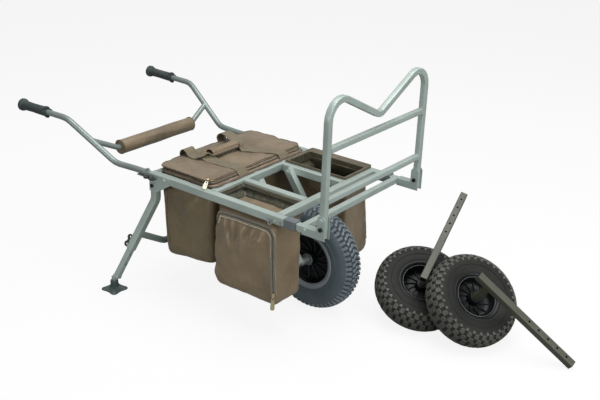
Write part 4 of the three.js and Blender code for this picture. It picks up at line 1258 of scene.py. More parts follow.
@dataclass
class Rim:
    """A plastic rim: a spun barrel with a deep dish on both sides, ribs and a hub."""

    node: str
    seat_radius: float
    lip: float
    half_width: float
    hub_radius: float
    hub_half: float
    bore: float
    finish: Finish
    ring_finish: Finish
    line_finish: Finish
    rib_finish: Finish = RIM_RIB_HIGHLIGHT
    hub_finish: Finish = RIM_HUB
    ribs: int = 12
    rib_width: float = 2.6
    sweep: float = 24.0
    steps: int = 72
    rib_rounding: float = 0.8
    rib_steps: int = 8
    line_radius: float = 0.9
    line_steps: int = 96

    def half_outline(self) -> list[tuple[float, float]]:
        """Places across and radii from the bead seat over lip and dish to the hub's bore."""
        seat, wide = self.seat_radius, self.half_width
        return [
            (wide - 5, seat), (wide - 5, seat + self.lip), (wide - 1, seat + self.lip), (wide, seat + self.lip - 2),
            (wide, seat + 1), (wide - 3, seat - 5), (wide - 8, seat - 9), (wide * 0.42, seat - 13),
            (wide * 0.2, seat - 18), (4.0, seat - 26), (4.0, self.hub_radius + 12), (6.0, self.hub_radius + 4),
            (self.hub_half - 2, self.hub_radius), (self.hub_half, self.hub_radius - 2), (self.hub_half, self.bore),
        ]

    def barrel(self) -> Object:
        """Spins the outline; the lip's ring gets its own finish."""
        half = self.half_outline()
        outline = [*half, *[(-across, radius) for across, radius in reversed(half)]]
        obj = spun(self.node, outline, self.steps)
        dress(obj, self.finish, self.ring_finish, self.hub_finish)
        for face in obj.data.polygons:
            middle = face.center / MM
            radius = math.hypot(middle.x, middle.z)
            if radius > self.seat_radius - 10 and abs(middle.y) > self.half_width - 9:
                face.material_index = 1
            elif radius < self.hub_radius and abs(middle.y) > self.hub_half - 2.5:
                face.material_index = 2
        return smooth(obj, 35.0)

    def rib(self, half: int) -> Object:
        """Models one curved rib of the dish and copies it round the hub, in the lighter rib finish: a painted highlight
        on the ribs.
        """
        first, last = self.hub_radius - 1, self.seat_radius - 14
        rows = []
        for step in range(self.rib_steps + 1):
            share = step / self.rib_steps
            radius = first + (last - first) * share
            angle = math.radians(self.sweep) * math.sin(math.pi / 2 * share) * half
            top = (12 - 3 * math.sin(math.pi * share)) * half
            row = []
            for side, across in ((-1, 3.0 * half), (-1, top), (1, top), (1, 3.0 * half)):
                turn = angle + side * self.rib_width / 2 / radius
                row.append(on_wheel(across, radius, turn))
            rows.append(row)
        rib = round_edges(lofted("rib", rows, capped=True), self.rib_rounding * MM)
        return dress(smooth(copy_round(rib, self.ribs)), self.rib_finish)

    def line(self, half: int) -> Object:
        """The thin bead inside the lip, in the line finish: silver on the front rim, and on the spare rims a grey
        painted highlight along the lip.
        """
        path = axle_circle((self.half_width - 7.5) * half, self.seat_radius - 9, self.line_steps)
        return dress(bead("rim_line", path, self.line_radius * MM, True, 6), self.line_finish)

    def build(self, placing: Matrix, body: str) -> Object:
        """Builds the rim and sets it on its wheel."""
        details = [make(half) for make in (self.rib, self.line) for half in (-1, 1)]
        rim = join(f"{self.node}_dished", [self.barrel(), *details])
        rim.data.transform(placing)
        return stand_for(rim, body, self.node)


def wheel_placing(frame: dict, joint: str) -> Matrix:
    """From a wheel's own axes, with y along the axle, to the frame."""
    found = next(entry for entry in frame["joints"] if entry["name"] == joint)
    turn = Vector((0, 1, 0)).rotation_difference(Vector(found["axis"]))
    return Matrix.Translation(Vector(found["pos_m"])) @ turn.to_matrix().to_4x4()


# Bags


@dataclass
class MainBag:
    """The large bag in the rear bay: a sagging shell, hung between the crossbars."""

    deck: Deck
    cloth: float = 2.5
    corner: float = 20.0
    seam_radius: float = 1.5
    seam_lift: float = 0.6
    on_side: int = 40

    def build(self) -> list[Object]:
        """Builds the bag in the room of its CAD solid, by rings at shares of its depth."""
        low, high = self.deck.box("main_bag")
        rear, front, half, depth = low.x, high.x, high.y, low.z
        shares = (
            (1.0, 26, 22, 30, 24), (0.985, 12, 10, 16, 24), (0.93, 8, 6, 8, 22), (0.78, 6, 3, 2, 14), (0.5, 5, 0, 0, 4),
            (0.28, -3, 1, 2, 0), (0.14, -13, 5, 9, 0), (0.1, -12, 5, 9, 0), (0.0, 5, 7, 12, 0),
        )
        levels = [
            Level(depth * down, rear + back, front - ahead, -half + side, half - side, self.corner, tip)
            for down, back, ahead, side, tip in shares
        ]
        creases = self._creases(rear, front, half, depth)
        form = SewnShell(self.deck, levels, creases, on_side=self.on_side)
        bag = form.build("main_bag_shell", self.cloth, MAIN_CLOTH_SHADED, LINING)
        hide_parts("main_bag")
        surface = Surface(bag)
        pieces = [bag, *(self.seam(surface, side) for side in Side)]
        hand_over(pieces, "root")
        return pieces

    def _creases(self, rear: float, front: float, half: float, depth: float) -> list[Crease]:
        """Folds that run down the two sides from the rails."""
        folds = (
            ((front - 62, -40), (rear + 96, -150), 8.0, 20.0),
            ((front - 50, -52), (rear + 140, depth * 0.9), -6.0, 15.0),
            ((front - 70, -140), (front - 90, depth * 0.85), 5.0, 12.0),
            ((rear + 40, -60), (rear + 120, -70), 5.0, 24.0),
            ((rear + 60, -110), (rear + 90, depth * 0.9), -4.0, 26.0),
            ((rear + 26, -30), (rear + 20, depth * 0.92), 3.0, 7.0),
            ((front - 30, -60), (front - 34, depth * 0.8), 4.0, 14.0),
            ((rear + 30, depth + 26), (front - 40, depth + 22), 4.0, 14.0),
        )
        return [
            Crease((x0, side, z0), (x1, side, z1), *form)
            for side in (-half, half) for (x0, z0), (x1, z1), *form in folds
        ]

    def seam(self, surface: Surface, side: Side) -> Object:
        """The piped seam down a side, near its rear edge."""
        low, high = self.deck.box("main_bag")
        face = side.value * (high.y + 5)
        stations = [
            (low.x + 32, face, -30), (low.x + 28, face, -120), (low.x + 28, face, -200), (low.x + 36, face, low.z + 20),
        ]
        points = self.deck.places(smooth_path(stations, 12))
        radius, lift = self.seam_radius * MM, self.seam_lift * MM
        return sewn_cord(f"main_bag_seam_{side.label}", surface, points, radius, lift, PIPING)


@dataclass
class BagLid:
    """The padded lid of the main bag with piping, zip, webbing handles and a grab roll."""

    deck: Deck
    thickness: float = 21.0
    flange_radius: float = 3.0
    piping_radius: float = 1.9
    webbing_width: float = 47.0
    webbing_thickness: float = 1.8
    webbing_lift: float = 1.6
    roll_half: float = 66.0
    roll_radius: float = 16.5
    roll_turns: float = 1.12
    roll_wind: float = 3.2
    roll_cloth: float = 1.8
    piping_sink: float = 0.7
    corner: float = 24.0

    def build(self) -> list[Object]:
        """Builds the pad and what is sewn on it."""
        pad = self.pad()
        surface = Surface(pad)
        pieces = [pad, *self.pipings(surface), *self.handles(surface), *self.pulls()]
        hand_over(pieces, "lid")
        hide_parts("main_bag_lid")
        return pieces

    def edges(self) -> tuple[float, float, float, float, float]:
        """The lid's rear, front, near and far edge and its underside, in deck millimetres."""
        low, high = self.deck.box("main_bag_lid")
        return low.x, high.x, low.y, high.y, low.z

    def pad(self) -> Object:
        """The closed, crowned pad, with a flange below and a front that leans back."""
        rear, front, near, far, base = self.edges()
        shares = (
            (0, 11, 11, 10), (1, 9, 8, 8), (5, 9, 11, 9), (9, 10, 18, 12), (12, 8, 20, 11), (16, 2, 24, 8),
            (20, 0, 29, 7), (21.5, 3, 34, 10), (23, 14, 48, 24), (25, 50, 84, 70), (26, 92, 112, 130),
        )
        levels = [
            Level(base + up, rear + back, front - ahead, near + side, far - side, self.corner)
            for up, back, ahead, side in shares
        ]
        form = SewnShell(self.deck, levels, self._dents(), on_side=44, between=4, lump=3.6, lump_size=48.0)
        return form.build("bag_lid_pad", 0.0, LID_CLOTH, top=True)

    def _dents(self) -> list[Crease]:
        """Soft dents and puckers in the lid's top."""
        rear, front, near, far, base = self.edges()
        top = base + self.thickness + 3
        middle = (rear + front) / 2
        return [
            Crease((rear + 30, near + 20, top), (rear + 30, far - 20, top), 4.0, 34.0),
            Crease((middle + 10, near + 30, top), (middle - 10, far - 40, top), -2.5, 40.0),
            Crease((rear + 60, far - 90, top), (front - 40, far - 30, top), 3.0, 22.0),
            Crease((rear + 30, near + 70, top), (middle, near + 30, top), -2.5, 16.0),
            Crease((middle, near + 40, top), (front - 50, near + 100, top), 2.5, 18.0),
            Crease((rear + 90, far - 130, top), (front - 70, far - 170, top), -2.0, 15.0),
        ]

    def pipings(self, surface: Surface) -> list[Object]:
        """The piping cords round the lid and the zip between them."""
        rear, front, near, far, base = self.edges()
        rings = (
            ("upper", 21.0, 0, 29, 6, self.piping_radius, PIPING), ("under", 16.5, 0, 25, 6, 1.2, DARK_PIPING),
            ("zip", 10.5, 5, 19, 10, 2.2, ZIP_TEETH), ("flange", 3.0, 2, 8, 6, self.flange_radius, FLANGE),
        )
        pieces = []
        for name, up, back, ahead, side, radius, finish in rings:
            flat = rounded_ring(rear + back, front - ahead, near + side, far - side, self.corner, 40, 8)
            points, lift = self.deck.places((x, y, base + up) for x, y in flat), radius * self.piping_sink * MM
            pieces.append(sewn_cord(f"lid_piping_{name}", surface, points, radius * MM, lift, finish, True, 8))
        return pieces

    def handles(self, surface: Surface) -> list[Object]:
        """Two webbing loops over the lid, held together by a grab roll."""
        rear, front, _, _, base = self.edges()
        top = base + self.thickness + 1
        roll_x, roll_y, roll_z = (rear + front) / 2 - 38, -23.0, top + self.roll_radius + 3
        start, end = roll_y - self.roll_half, roll_y + self.roll_half
        inside = [((roll_x + 1, start + 20, roll_z), (1, 0, 0)), ((roll_x + 2, end - 20, roll_z), (1, 0, 0))]
        front_stations = [
            ((front - 7, -92, base + 2), (0, 1, 0)), ((front - 15, -92, base + 12), (0, 1, 0)),
            ((front - 28, -92, top), (0, 1, 0)), ((front - 60, -94, top + 3), (0, 1, 0)),
            ((front - 100, -99, top + 3), (0, 1, 0)), ((front - 134, -104, top + 5), (0.1, 1, 0)),
            ((roll_x + 16, start - 18, top + 10), (0.5, 0.85, 0)), ((roll_x + 3, start - 12, top + 17), (0.9, 0.4, 0)),
            ((roll_x, start, roll_z), (1, 0, 0)), *inside,
            ((roll_x + 2, end, roll_z), (1, 0, 0)), ((roll_x + 8, end + 12, roll_z - 1), (1, -0.2, 0.2)),
            ((roll_x + 20, end + 13, top + 11), (0.8, -0.6, 0.1)), ((roll_x + 36, end + 14, top + 4), (0.63, -0.78, 0)),
            ((front - 88, 90, top + 3), (0.6, -0.8, 0)), ((front - 56, 112, top + 3), (0.4, -0.9, 0)),
            ((front - 28, 128, top), (0, -1, 0)), ((front - 15, 131, base + 12), (0, -1, 0)),
            ((front - 7, 131, base + 2), (0, -1, 0)),
        ]
        rear_stations = [
            ((rear + 7, -113, base + 2), (0, -1, 0)), ((rear - 1, -113, base + 14), (0, -1, 0)),
            ((rear - 7, -113, base + 28), (0, -1, 0)), ((rear, -114, base + 42), (0, -1, 0)),
            ((rear + 14, -116, base + 48), (0, -1, 0)), ((rear + 29, -118, base + 42), (0, -1, 0)),
            ((rear + 42, -119, base + 32), (0, -1, 0)), ((rear + 55, -118, base + 29), (0.3, -0.95, 0)),
            ((rear + 70, -114, base + 38), (0.7, -0.7, 0)), ((roll_x - 11, start - 13, base + 46), (1, -0.3, 0)),
            ((roll_x - 1, start, roll_z - 2), (1, 0, 0)), *[((x, y, z - 3), side) for (x, y, z), side in inside],
            ((roll_x, end, roll_z - 2), (1, 0, 0)), ((roll_x - 4, end + 14, roll_z + 2), (1, 0.3, 0)),
            ((roll_x - 18, end + 28, roll_z + 3), (0.7, 0.7, 0)), ((rear + 56, 81, roll_z + 4), (0.2, 1, 0)),
            ((rear + 32, 86, base + 51), (0, 1, 0)), ((rear + 12, 86, base + 56), (0, 1, 0)),
            ((rear - 4, 86, base + 50), (0, 1, 0)), ((rear - 12, 86, base + 35), (0, 1, 0)),
            ((rear - 3, 86, base + 16), (0, 1, 0)), ((rear + 7, 86, base + 2), (0, 1, 0)),
        ]
        straps = []
        for name, stations in (("front", front_stations), ("rear", rear_stations)):
            points, across = (smooth_path(part, 6) for part in zip(*stations))
            path = surface.keep_off(self.deck.places(points), self.webbing_lift * MM)
            strap = ribbon(f"lid_webbing_{name}", path, across, self.webbing_width * MM, self.webbing_thickness * MM)
            straps.append(dress(strap, WEBBING))
        return [*straps, self.grab_roll(roll_x, roll_y, roll_z)]

    def grab_roll(self, x: float, y: float, z: float) -> Object:
        """The cloth wrapped round both handles, an open spiral."""
        around, along, start = 44, 16, math.radians(205)
        rows = []
        for step in range(along + 1):
            share = step / along
            pinch = 1 - 0.1 * math.sin(math.pi * share) + 0.03 * math.sin(9 * share)
            row = []
            for turn in range(around):
                wound = turn / (around - 1)
                angle = start - TURN * self.roll_turns * wound
                reach = (self.roll_radius - self.roll_wind * wound) * pinch
                across, up = 1.18 * reach * math.cos(angle), 0.95 * reach * math.sin(angle)
                row.append(self.deck.place(x + across, y + (2 * share - 1) * self.roll_half, z + up))
            rows.append(row)
        roll = thicken(lofted("lid_grab_roll", rows, closed=False), self.roll_cloth * MM, -1.0)
        return dress(smooth(roll, 60.0), LID_CLOTH)

    def pulls(self) -> list[Object]:
        """The two zip pulls at the near front corner, one with its tab over the rail."""
        _, front, near, _, base = self.edges()
        first, over_rail, second, along_front = self.deck.places((
            (front - 40, near + 10, base + 20), (front - 27, near - 20, base + 3),
            (front - 32, near + 34, base + 20), (front - 24, near + 12, base + 22),
        ))
        return [
            ZipPull("lid_pull_near", first, over_rail - first, Vector((0.3, -0.7, 1.0)), 38.0, 17.0, IVORY).build(),
            ZipPull("lid_pull_front", second, along_front - second, Vector((0.5, 0.2, 1.0)), 16.0, 8.0).build(),
        ]


@dataclass
class PocketBag:
    """A side pocket between rail and inner bar, with an open lined top and a zipped face."""

    deck: Deck
    side: Side
    cloth: float = 3.0
    corner: float = 8.0
    tape: float = 18.0
    tape_lift: float = 0.8
    teeth_radius: float = 1.4
    teeth_lift: float = 1.6
    cord_radius: float = 1.8
    cord_lift: float = 1.2
    cord_start: int = 70
    pull_lift: float = 4.0
    edging_radius: float = 1.6
    edging_lift: float = 0.8
    flange_cloth: float = 1.5
    cover_cloth: float = 1.6

    def build(self) -> list[Object]:
        """Builds the shell and its zip in the room of the CAD solid."""
        node = f"pocket_bag_{self.side.label}"
        shell = self.shell(node)
        surface = Surface(shell)
        pieces = [shell, *self.zip_band(node, surface), *self.bindings(node, surface)]
        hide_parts(node)
        hand_over(pieces, "root")
        return pieces

    def room(self) -> tuple[Vector, Vector, float, float]:
        """The CAD box and its inner and outer face, both as distances from the centre plane."""
        low, high = self.deck.box(f"pocket_bag_{self.side.label}")
        inner, outer = (low.y, high.y) if self.side is Side.FAR else (-high.y, -low.y)
        return low, high, inner, outer

    def span(self, inner: float, outer: float) -> tuple[float, float]:
        """Two distances from the centre plane as places along y, the lower one first."""
        return (inner, outer) if self.side is Side.FAR else (-outer, -inner)

    def ring(self, rear: float, front: float, near: float, far: float, height: float) -> list[Vector]:
        """Points in metres of a ring round the opening."""
        flat = rounded_ring(rear, front, near, far, self.corner, 24, 6)
        return self.deck.places((x, y, height) for x, y in flat)

    def shell(self, node: str) -> Object:
        """The bag's body: a puffed outer face below a shoulder that carries the zip."""
        low, high, inner, outer = self.room()
        depth, top = low.z, high.z
        shares = (
            (depth, 46, -2, 54, 30), (depth + 3, 34, -14, 48, 15), (depth + 20, 28, -23, 45, 3),
            (depth + 70, 26, -24, 44, 0),
            (depth * 0.5, 26, -20, 40, -2), (-95, 28, -17, 36, 3), (-66, 28, -15, 34, 8), (-52, 28, -12, 30, 12),
            (-43, 24, -8, 24, 17), (-37, 14, -2, 16, 27), (-30, 4, 4, 8, 35), (top, 0, 4, 7, 36),
        )
        levels = []
        for height, back, ahead, into, out in shares:
            if self.side is Side.FAR:
                into, out, ahead = min(into, 24), max(out, 38 + 0.13 * (height + 40)), max(ahead, 4)
            sides = self.span(inner + into, outer - out)
            levels.append(Level(height, low.x + back, high.x - ahead, *sides, self.corner))
        form = SewnShell(self.deck, levels, self._creases(), on_side=60, between=6)
        return form.build(f"{node}_shell", self.cloth, BAG_CLOTH, LINING)

    def _creases(self) -> list[Crease]:
        """Puckers below the zip, a bulging lower corner and slack folds on the outer face."""
        low, high, _, outer = self.room()
        face = self.side.value * (outer - 2)
        folds = [
            Crease((low.x + 16, face, -250), (low.x + 20, face, -310), 6.0, 26.0),
            Crease((low.x + 25, face, -262), (high.x - 30, face, -276), 4.5, 22.0),
            Crease((low.x + 30, face, -190), (high.x - 60, face, -120), 4.5, 26.0),
            Crease((low.x + 40, face, -290), (high.x - 50, face, -200), -4.0, 18.0),
            Crease((high.x - 30, face, -90), (high.x - 22, face, -290), -2.5, 9.0),
        ]
        puckers = (
            (-236, 34, 110, 7.0, 12), (-222, 12, 70, -5.0, 9), (-206, 26, 84, 6.0, 10), (-184, 14, 110, -6.5, 12),
            (-168, 4, 60, 5.5, 8), (-150, -14, 100, 7.0, 11), (-132, -4, 56, -5.5, 9), (-112, -20, 80, 5.5, 10),
            (-92, -10, 50, -4.5, 8), (-74, -22, 110, 6.0, 12), (-58, 2, 60, -4.5, 9),
        )
        for x, lean, run, depth, breadth in puckers:
            folds.append(Crease((x + 14, face, -67), (x + 14 + lean, face, -66 - run), depth * 1.25, breadth))
        for z, depth in ((-110, 2.4), (-150, -2.2), (-196, 2.2), (-238, -2.2), (-272, 2.6)):
            folds.append(Crease((low.x + 14, face, z), (low.x + 66, face, z - 16), depth * 1.6, 8.5))
            folds.append(Crease((high.x - 24, face, z + 12), (high.x - 74, face, z), depth * 1.5, 8.5))
        return folds

    def flange(
        self, name: str, rim: Sequence[Vector], lip: Sequence[Vector], finish: ClothFinish
    ) -> Object:
        """A strip of cloth between two rings around the opening."""
        return dress(smooth(thicken(lofted(name, (rim, lip)), self.flange_cloth * MM)), finish)

    def cover(self, node: str, rear: float, front: float, first: float, top: float) -> Object:
        """The pocket's cloth cover, tucked in: slack over the near bag, hanging down in the far one."""
        reach, drop = (104.0, 27.0) if self.side is Side.NEAR else (86.0, 22.0)
        rows = []
        across, lengthwise = 24, 36
        for step in range(across + 1):
            share = step / across
            row = []
            for place in range(lengthwise + 1):
                along = place / lengthwise
                x = rear + (front - rear) * along
                y = first + 7 + reach * share
                z = top - 7 - drop * (1 - (1 - share) ** 3)
                z += noise.noise(Vector((x, y * 1.7, 3.0)) / 40.0) * 5 * share + math.sin(5 * along + 5 * share) * share
                row.append(self.deck.place(x, y, z))
            rows.append(row)
        cover = thicken(lofted(f"{node}_cover", rows, closed=False), self.cover_cloth * MM)
        return dress(smooth(cover, 70.0), BAG_CLOTH)

    def track(self) -> list[Vector]:
        """The zip's path: over the shoulder and down beside the front corner."""
        low, high, _, outer = self.room()
        face, corner = self.side.value * (outer + 5), self.side.value * (outer + 1)
        stations = (
            (low.x + 26, face, -88), (low.x + 28, face, -70), (low.x + 38, face, -55), (low.x + 58, face, -50),
            (low.x + 110, face, -48), (low.x + 170, face, -47), (high.x - 28, face, -48), (high.x - 9, face, -55),
            (high.x + 5, corner, -72), (high.x + 11, corner, -98), (high.x + 15, corner, -170),
            (high.x + 20, corner, -276),
        )
        return self.deck.places(smooth_path(stations, 10))

    def zip_band(self, node: str, surface: Surface) -> list[Object]:
        """The zip: tape, teeth, a cord on each side and the pull."""
        path = self.track()
        pieces = [dress(sewn_tape(f"{node}_zip_tape", surface, path, self.tape * MM, self.tape_lift * MM), ZIP_TAPE)]
        teeth, normals = surface.lay(path, self.teeth_lift * MM)
        pieces.append(dress(bead(f"{node}_zip_teeth", teeth, self.teeth_radius * MM, False, 6), ZIP_TEETH))
        for name, shift, skipped in (("inner", -0.5, 0), ("outer", 0.5, self.cord_start)):
            edge = offset_path(surface, path[skipped:], shift * self.tape * MM, self.cord_lift * MM)
            pieces.append(dress(bead(f"{node}_zip_cord_{name}", edge, self.cord_radius * MM, False, 6), ZIP_CORD))
        parked = -1 if self.side is Side.NEAR else len(teeth) // 2
        start = teeth[parked] + normals[parked] * self.pull_lift * MM
        down = Vector((0.0, self.side.value * 0.06, -1.0))
        pieces.append(ZipPull(f"{node}_pull", start, down, normals[parked], 50.0, 17.0, taper=0.5).build())
        return pieces

    def bindings(self, node: str, surface: Surface) -> list[Object]:
        """The bound rim of the opening and the piping on the rear edge of the outer face."""
        low, high, inner, outer = self.room()
        first, last = self.span(inner + 8, outer - 37)
        rear, front, top, radius = low.x + 2, high.x - 5, high.z, self.edging_radius * MM
        over, spread, rise = (6.0, 27.0, 20.0) if self.side is Side.FAR else (0.0, 0.0, 1.0)
        edges = (rear - over, front + over, first - over, last + spread)
        rim = self.ring(*edges, top + rise)
        pieces = [dress(bead(f"{node}_rim_binding", rim, radius, True), RIM_BINDING)]
        if self.side is Side.FAR:
            pieces.append(self.flange(f"{node}_collar", rim, self.ring(*edges, top + 12.6), COLLAR_CLOTH))
            turn = self.ring(rear + 4, front - 4, first + 4, last - 4, top + 17)
            pieces.append(self.flange(f"{node}_turn", rim, turn, COLLAR_CLOTH))
            rim = turn
        lip = self.ring(rear + 6, front - 6, first + 6, last - 6, top - 8)
        pieces.append(dress(bead(f"{node}_lip_binding", lip, radius, True), DARK_PIPING))
        pieces.append(self.flange(f"{node}_flange", rim, lip, LINING))
        pieces.append(self.cover(node, rear + 12, front - 13, first, top))
        face = self.side.value * (outer - 3)
        stations = [
            (low.x + 19, face, -86), (low.x + 15, face, -160), (low.x + 13, face, -240), (low.x + 18, face, -300),
        ]
        points = self.deck.places(smooth_path(stations, 12))
        return [*pieces, sewn_cord(f"{node}_edge_piping", surface, points, radius, self.edging_lift * MM, PIPING)]


@dataclass
class HandlePad:
    """The padded sleeve on the handle crossbar, with foam showing at its ends."""

    deck: Deck
    near_overlap: float = 3.0
    far_overlap: float = 8.0
    slack: float = 2.5
    sag: float = 1.5
    seam_radius: float = 1.2
    seam_lift: float = 0.2
    seam_inset: float = 8.0
    end_radius: float = 1.9
    steps: int = 60
    sides: int = 40

    def build(self) -> Object:
        """Builds the sleeve as a slack round form."""
        low, high = self.deck.box("handle_pad")
        start, end = low.y - self.near_overlap, high.y + self.far_overlap
        centre_x, centre_z = (low.x + high.x) / 2, (low.z + high.z) / 2
        radius = (high.z - low.z) / 2 + self.slack

        def at(reach: float, angle: float, y: float) -> Vector:
            """A point at a reach from the sleeve's axis."""
            return self.deck.place(centre_x + reach * math.cos(angle), y, centre_z + reach * math.sin(angle))

        turns = [TURN * turn / self.sides for turn in range(self.sides)]
        mesh = bmesh.new()
        rings = []
        for step in range(self.steps + 1):
            share = step / self.steps
            ring = []
            for angle in turns:
                wave = 0.6 * math.sin(7 * angle + 9 * share) + 0.5 * math.sin(3 * angle - 14 * share)
                drop = self.sag * max(0.0, -math.sin(angle))
                reach = radius - self.sag + wave * math.sin(math.pi * share) + drop
                ring.append(mesh.verts.new(at(reach, angle, start + (end - start) * share)))
            rings.append(ring)
        skin(mesh, rings)
        for ring in (rings[0], rings[-1]):
            inner = shrunk(mesh, ring, 0.5)
            for face in [*skin(mesh, [ring, inner]), mesh.faces.new(inner)]:
                face.material_index = 1
        pad = dress(smooth(mesh_object("handle_pad_sleeve", mesh), 50.0), PAD_CLOTH, FOAM)
        first, length = start + self.seam_inset, end - start - 2 * self.seam_inset
        seam = self.deck.places((centre_x, first + length * step / 40, centre_z - radius) for step in range(41))
        form, seam_sizes = Surface(pad), (self.seam_radius * MM, self.seam_lift * MM)
        trims = [sewn_cord("pad_seam", form, seam, *seam_sizes, DARK_PIPING)]
        for y in (start + 0.5, end - 0.5):
            ring = [at(radius - 1.2, angle, y) for angle in turns]
            trims.append(dress(bead("pad_end", ring, self.end_radius * MM, True, 6), PIPING))
        pad = stand_for(join("handle_pad_sleeve", [pad, *trims]), "handles", "handle_pad")
        return pad


@dataclass
class Foot:
    """A square moulded foot with hollow sides and a ridge to each corner."""

    deck: Deck
    side: Side
    corner: float = 46.0
    hollow: float = 0.3
    steps: int = 64

    def build(self) -> Object:
        """Builds the foot in the room of its CAD solid."""
        node = f"foot_{self.side.label}"
        low, high = self.deck.box(node)
        x, y = (low.x + high.x) / 2, (low.y + high.y) / 2
        rise = high.z - low.z
        rings = (
            (0.3, 0.0, 0.0), (1.0, 0.0, 0.0), (1.0, 3.5, 0.0), (0.9, 4.5, 1.5), (0.62, 6.0, 5.0), (0.4, 8.5, 4.0),
            (0.32, 11.0, 1.0), (0.3, rise - 1.0, 0.0), (0.27, rise, 0.0),
        )
        rows = []
        for share, height, ridge in rings:
            row = []
            for step in range(self.steps):
                angle = TURN * step / self.steps
                corner = 0.5 - 0.5 * math.cos(4 * angle)
                form = 1 - self.hollow * (1 - corner**1.5) * min(1.0, max(0.0, (share - 0.3) / 0.5))
                reach = self.corner * share * form
                place = (x + reach * math.cos(angle), y + reach * math.sin(angle), low.z + height + ridge * corner**4)
                row.append(self.deck.place(*place))
            rows.append(row)
        foot = dress(smooth(lofted(f"{node}_moulded", rows, capped=True), 35.0), FOOT_PLASTIC)
        return stand_for(foot, node, node)


# Carried frame


@dataclass
class CarriedFrame:
    """The hard pieces of the CAD frame: smooth copies with softened edges, each with its finish."""

    frame: dict
    edge: float = 0.7
    flatness: float = 0.5
    wall_reach: float = 0.03
    remade: tuple[str, ...] = ("bag", "pad", "tyre", "rim", "foot")

    def finish_of(self, name: str) -> Finish:
        """The finish of a node, by the words in its name."""
        words = (
            ("spare_arm", ARM_PAINT), ("rim", RIM_BLACK), ("sleeve", SLEEVE), ("collar", BLACK), ("knob", BLACK),
            ("foot", BLACK), ("grip", GRIP_RUBBER), ("bolt", DARK_STEEL), ("axle", PLATED), ("catch", ZINC),
            # The handle tubes, crossbar and brace take the darker paint, painted shade.
            ("stop", ZINC), ("handle_tube", HANDLE_PAINT_SHADED), ("handle_cross", HANDLE_PAINT_SHADED),
            ("brace", HANDLE_PAINT_SHADED), ("tyre", TYRE_RUBBER), ("bag", BAG_CLOTH), ("pad", PAD_CLOTH),
        )
        return next((finish for word, finish in words if word in name), PAINT)

    def build(self) -> list[Object]:
        """Dresses all nodes and makes the copies of those that no other piece replaces."""
        record = self.frame["record"]
        homes = {name: body for body, members in record["behaviour"]["bodies"].items() for name in members}
        copies = []
        for name, node in self.frame["nodes"].items():
            dress(node, self.finish_of(name))
            if any(word in name for word in self.remade):
                continue
            copy = dress(self.softened(name, node), self.finish_of(name))
            if "spare_arm" in name:
                self.darken_hollow(copy)
            copies.append(stand_for(copy, homes[name], name))
        return copies

    def softened(self, name: str, node: Object) -> Object:
        """A merged copy of a node with flat faces joined up and its sharp edges bevelled."""
        copy = bpy.data.objects.new(f"{name}_smooth", node.data.copy())
        bpy.context.scene.collection.objects.link(copy)
        only(copy)
        if copy.data.has_custom_normals:
            bpy.ops.mesh.customdata_custom_splitnormals_clear()
        with editing(copy):
            bpy.ops.mesh.remove_doubles(threshold=MERGE_GAP)
            bpy.ops.mesh.dissolve_limited(angle_limit=math.radians(self.flatness))
        smooth(round_edges(copy, self.edge * MM, 50.0), 45.0)
        weighted = copy.modifiers.new("flat faces first", "WEIGHTED_NORMAL")
        weighted.weight, weighted.keep_sharp = 80, True
        return apply_modifiers(copy)

    def darken_hollow(self, tube: Object) -> None:
        """Gives the inner faces of a tube, which look at each other, a near-black finish: painted shade in the hollow.
        """
        tube.data.materials.append(ARM_HOLLOW_SHADE.material())
        tree = BVHTree.FromPolygons([v.co for v in tube.data.vertices], [p.vertices for p in tube.data.polygons])
        for face in tube.data.polygons:
            if tree.ray_cast(face.center + face.normal * 0.0001, face.normal, self.wall_reach)[0] is not None:
                face.material_index = 1


# Studio


@dataclass(frozen=True)
class Softbox:
    """A square lamp: its place and target in deck millimetres, its size in metres and its watts."""

    name: str
    place: tuple[float, float, float]
    target: tuple[float, float, float]
    size: float
    power: float


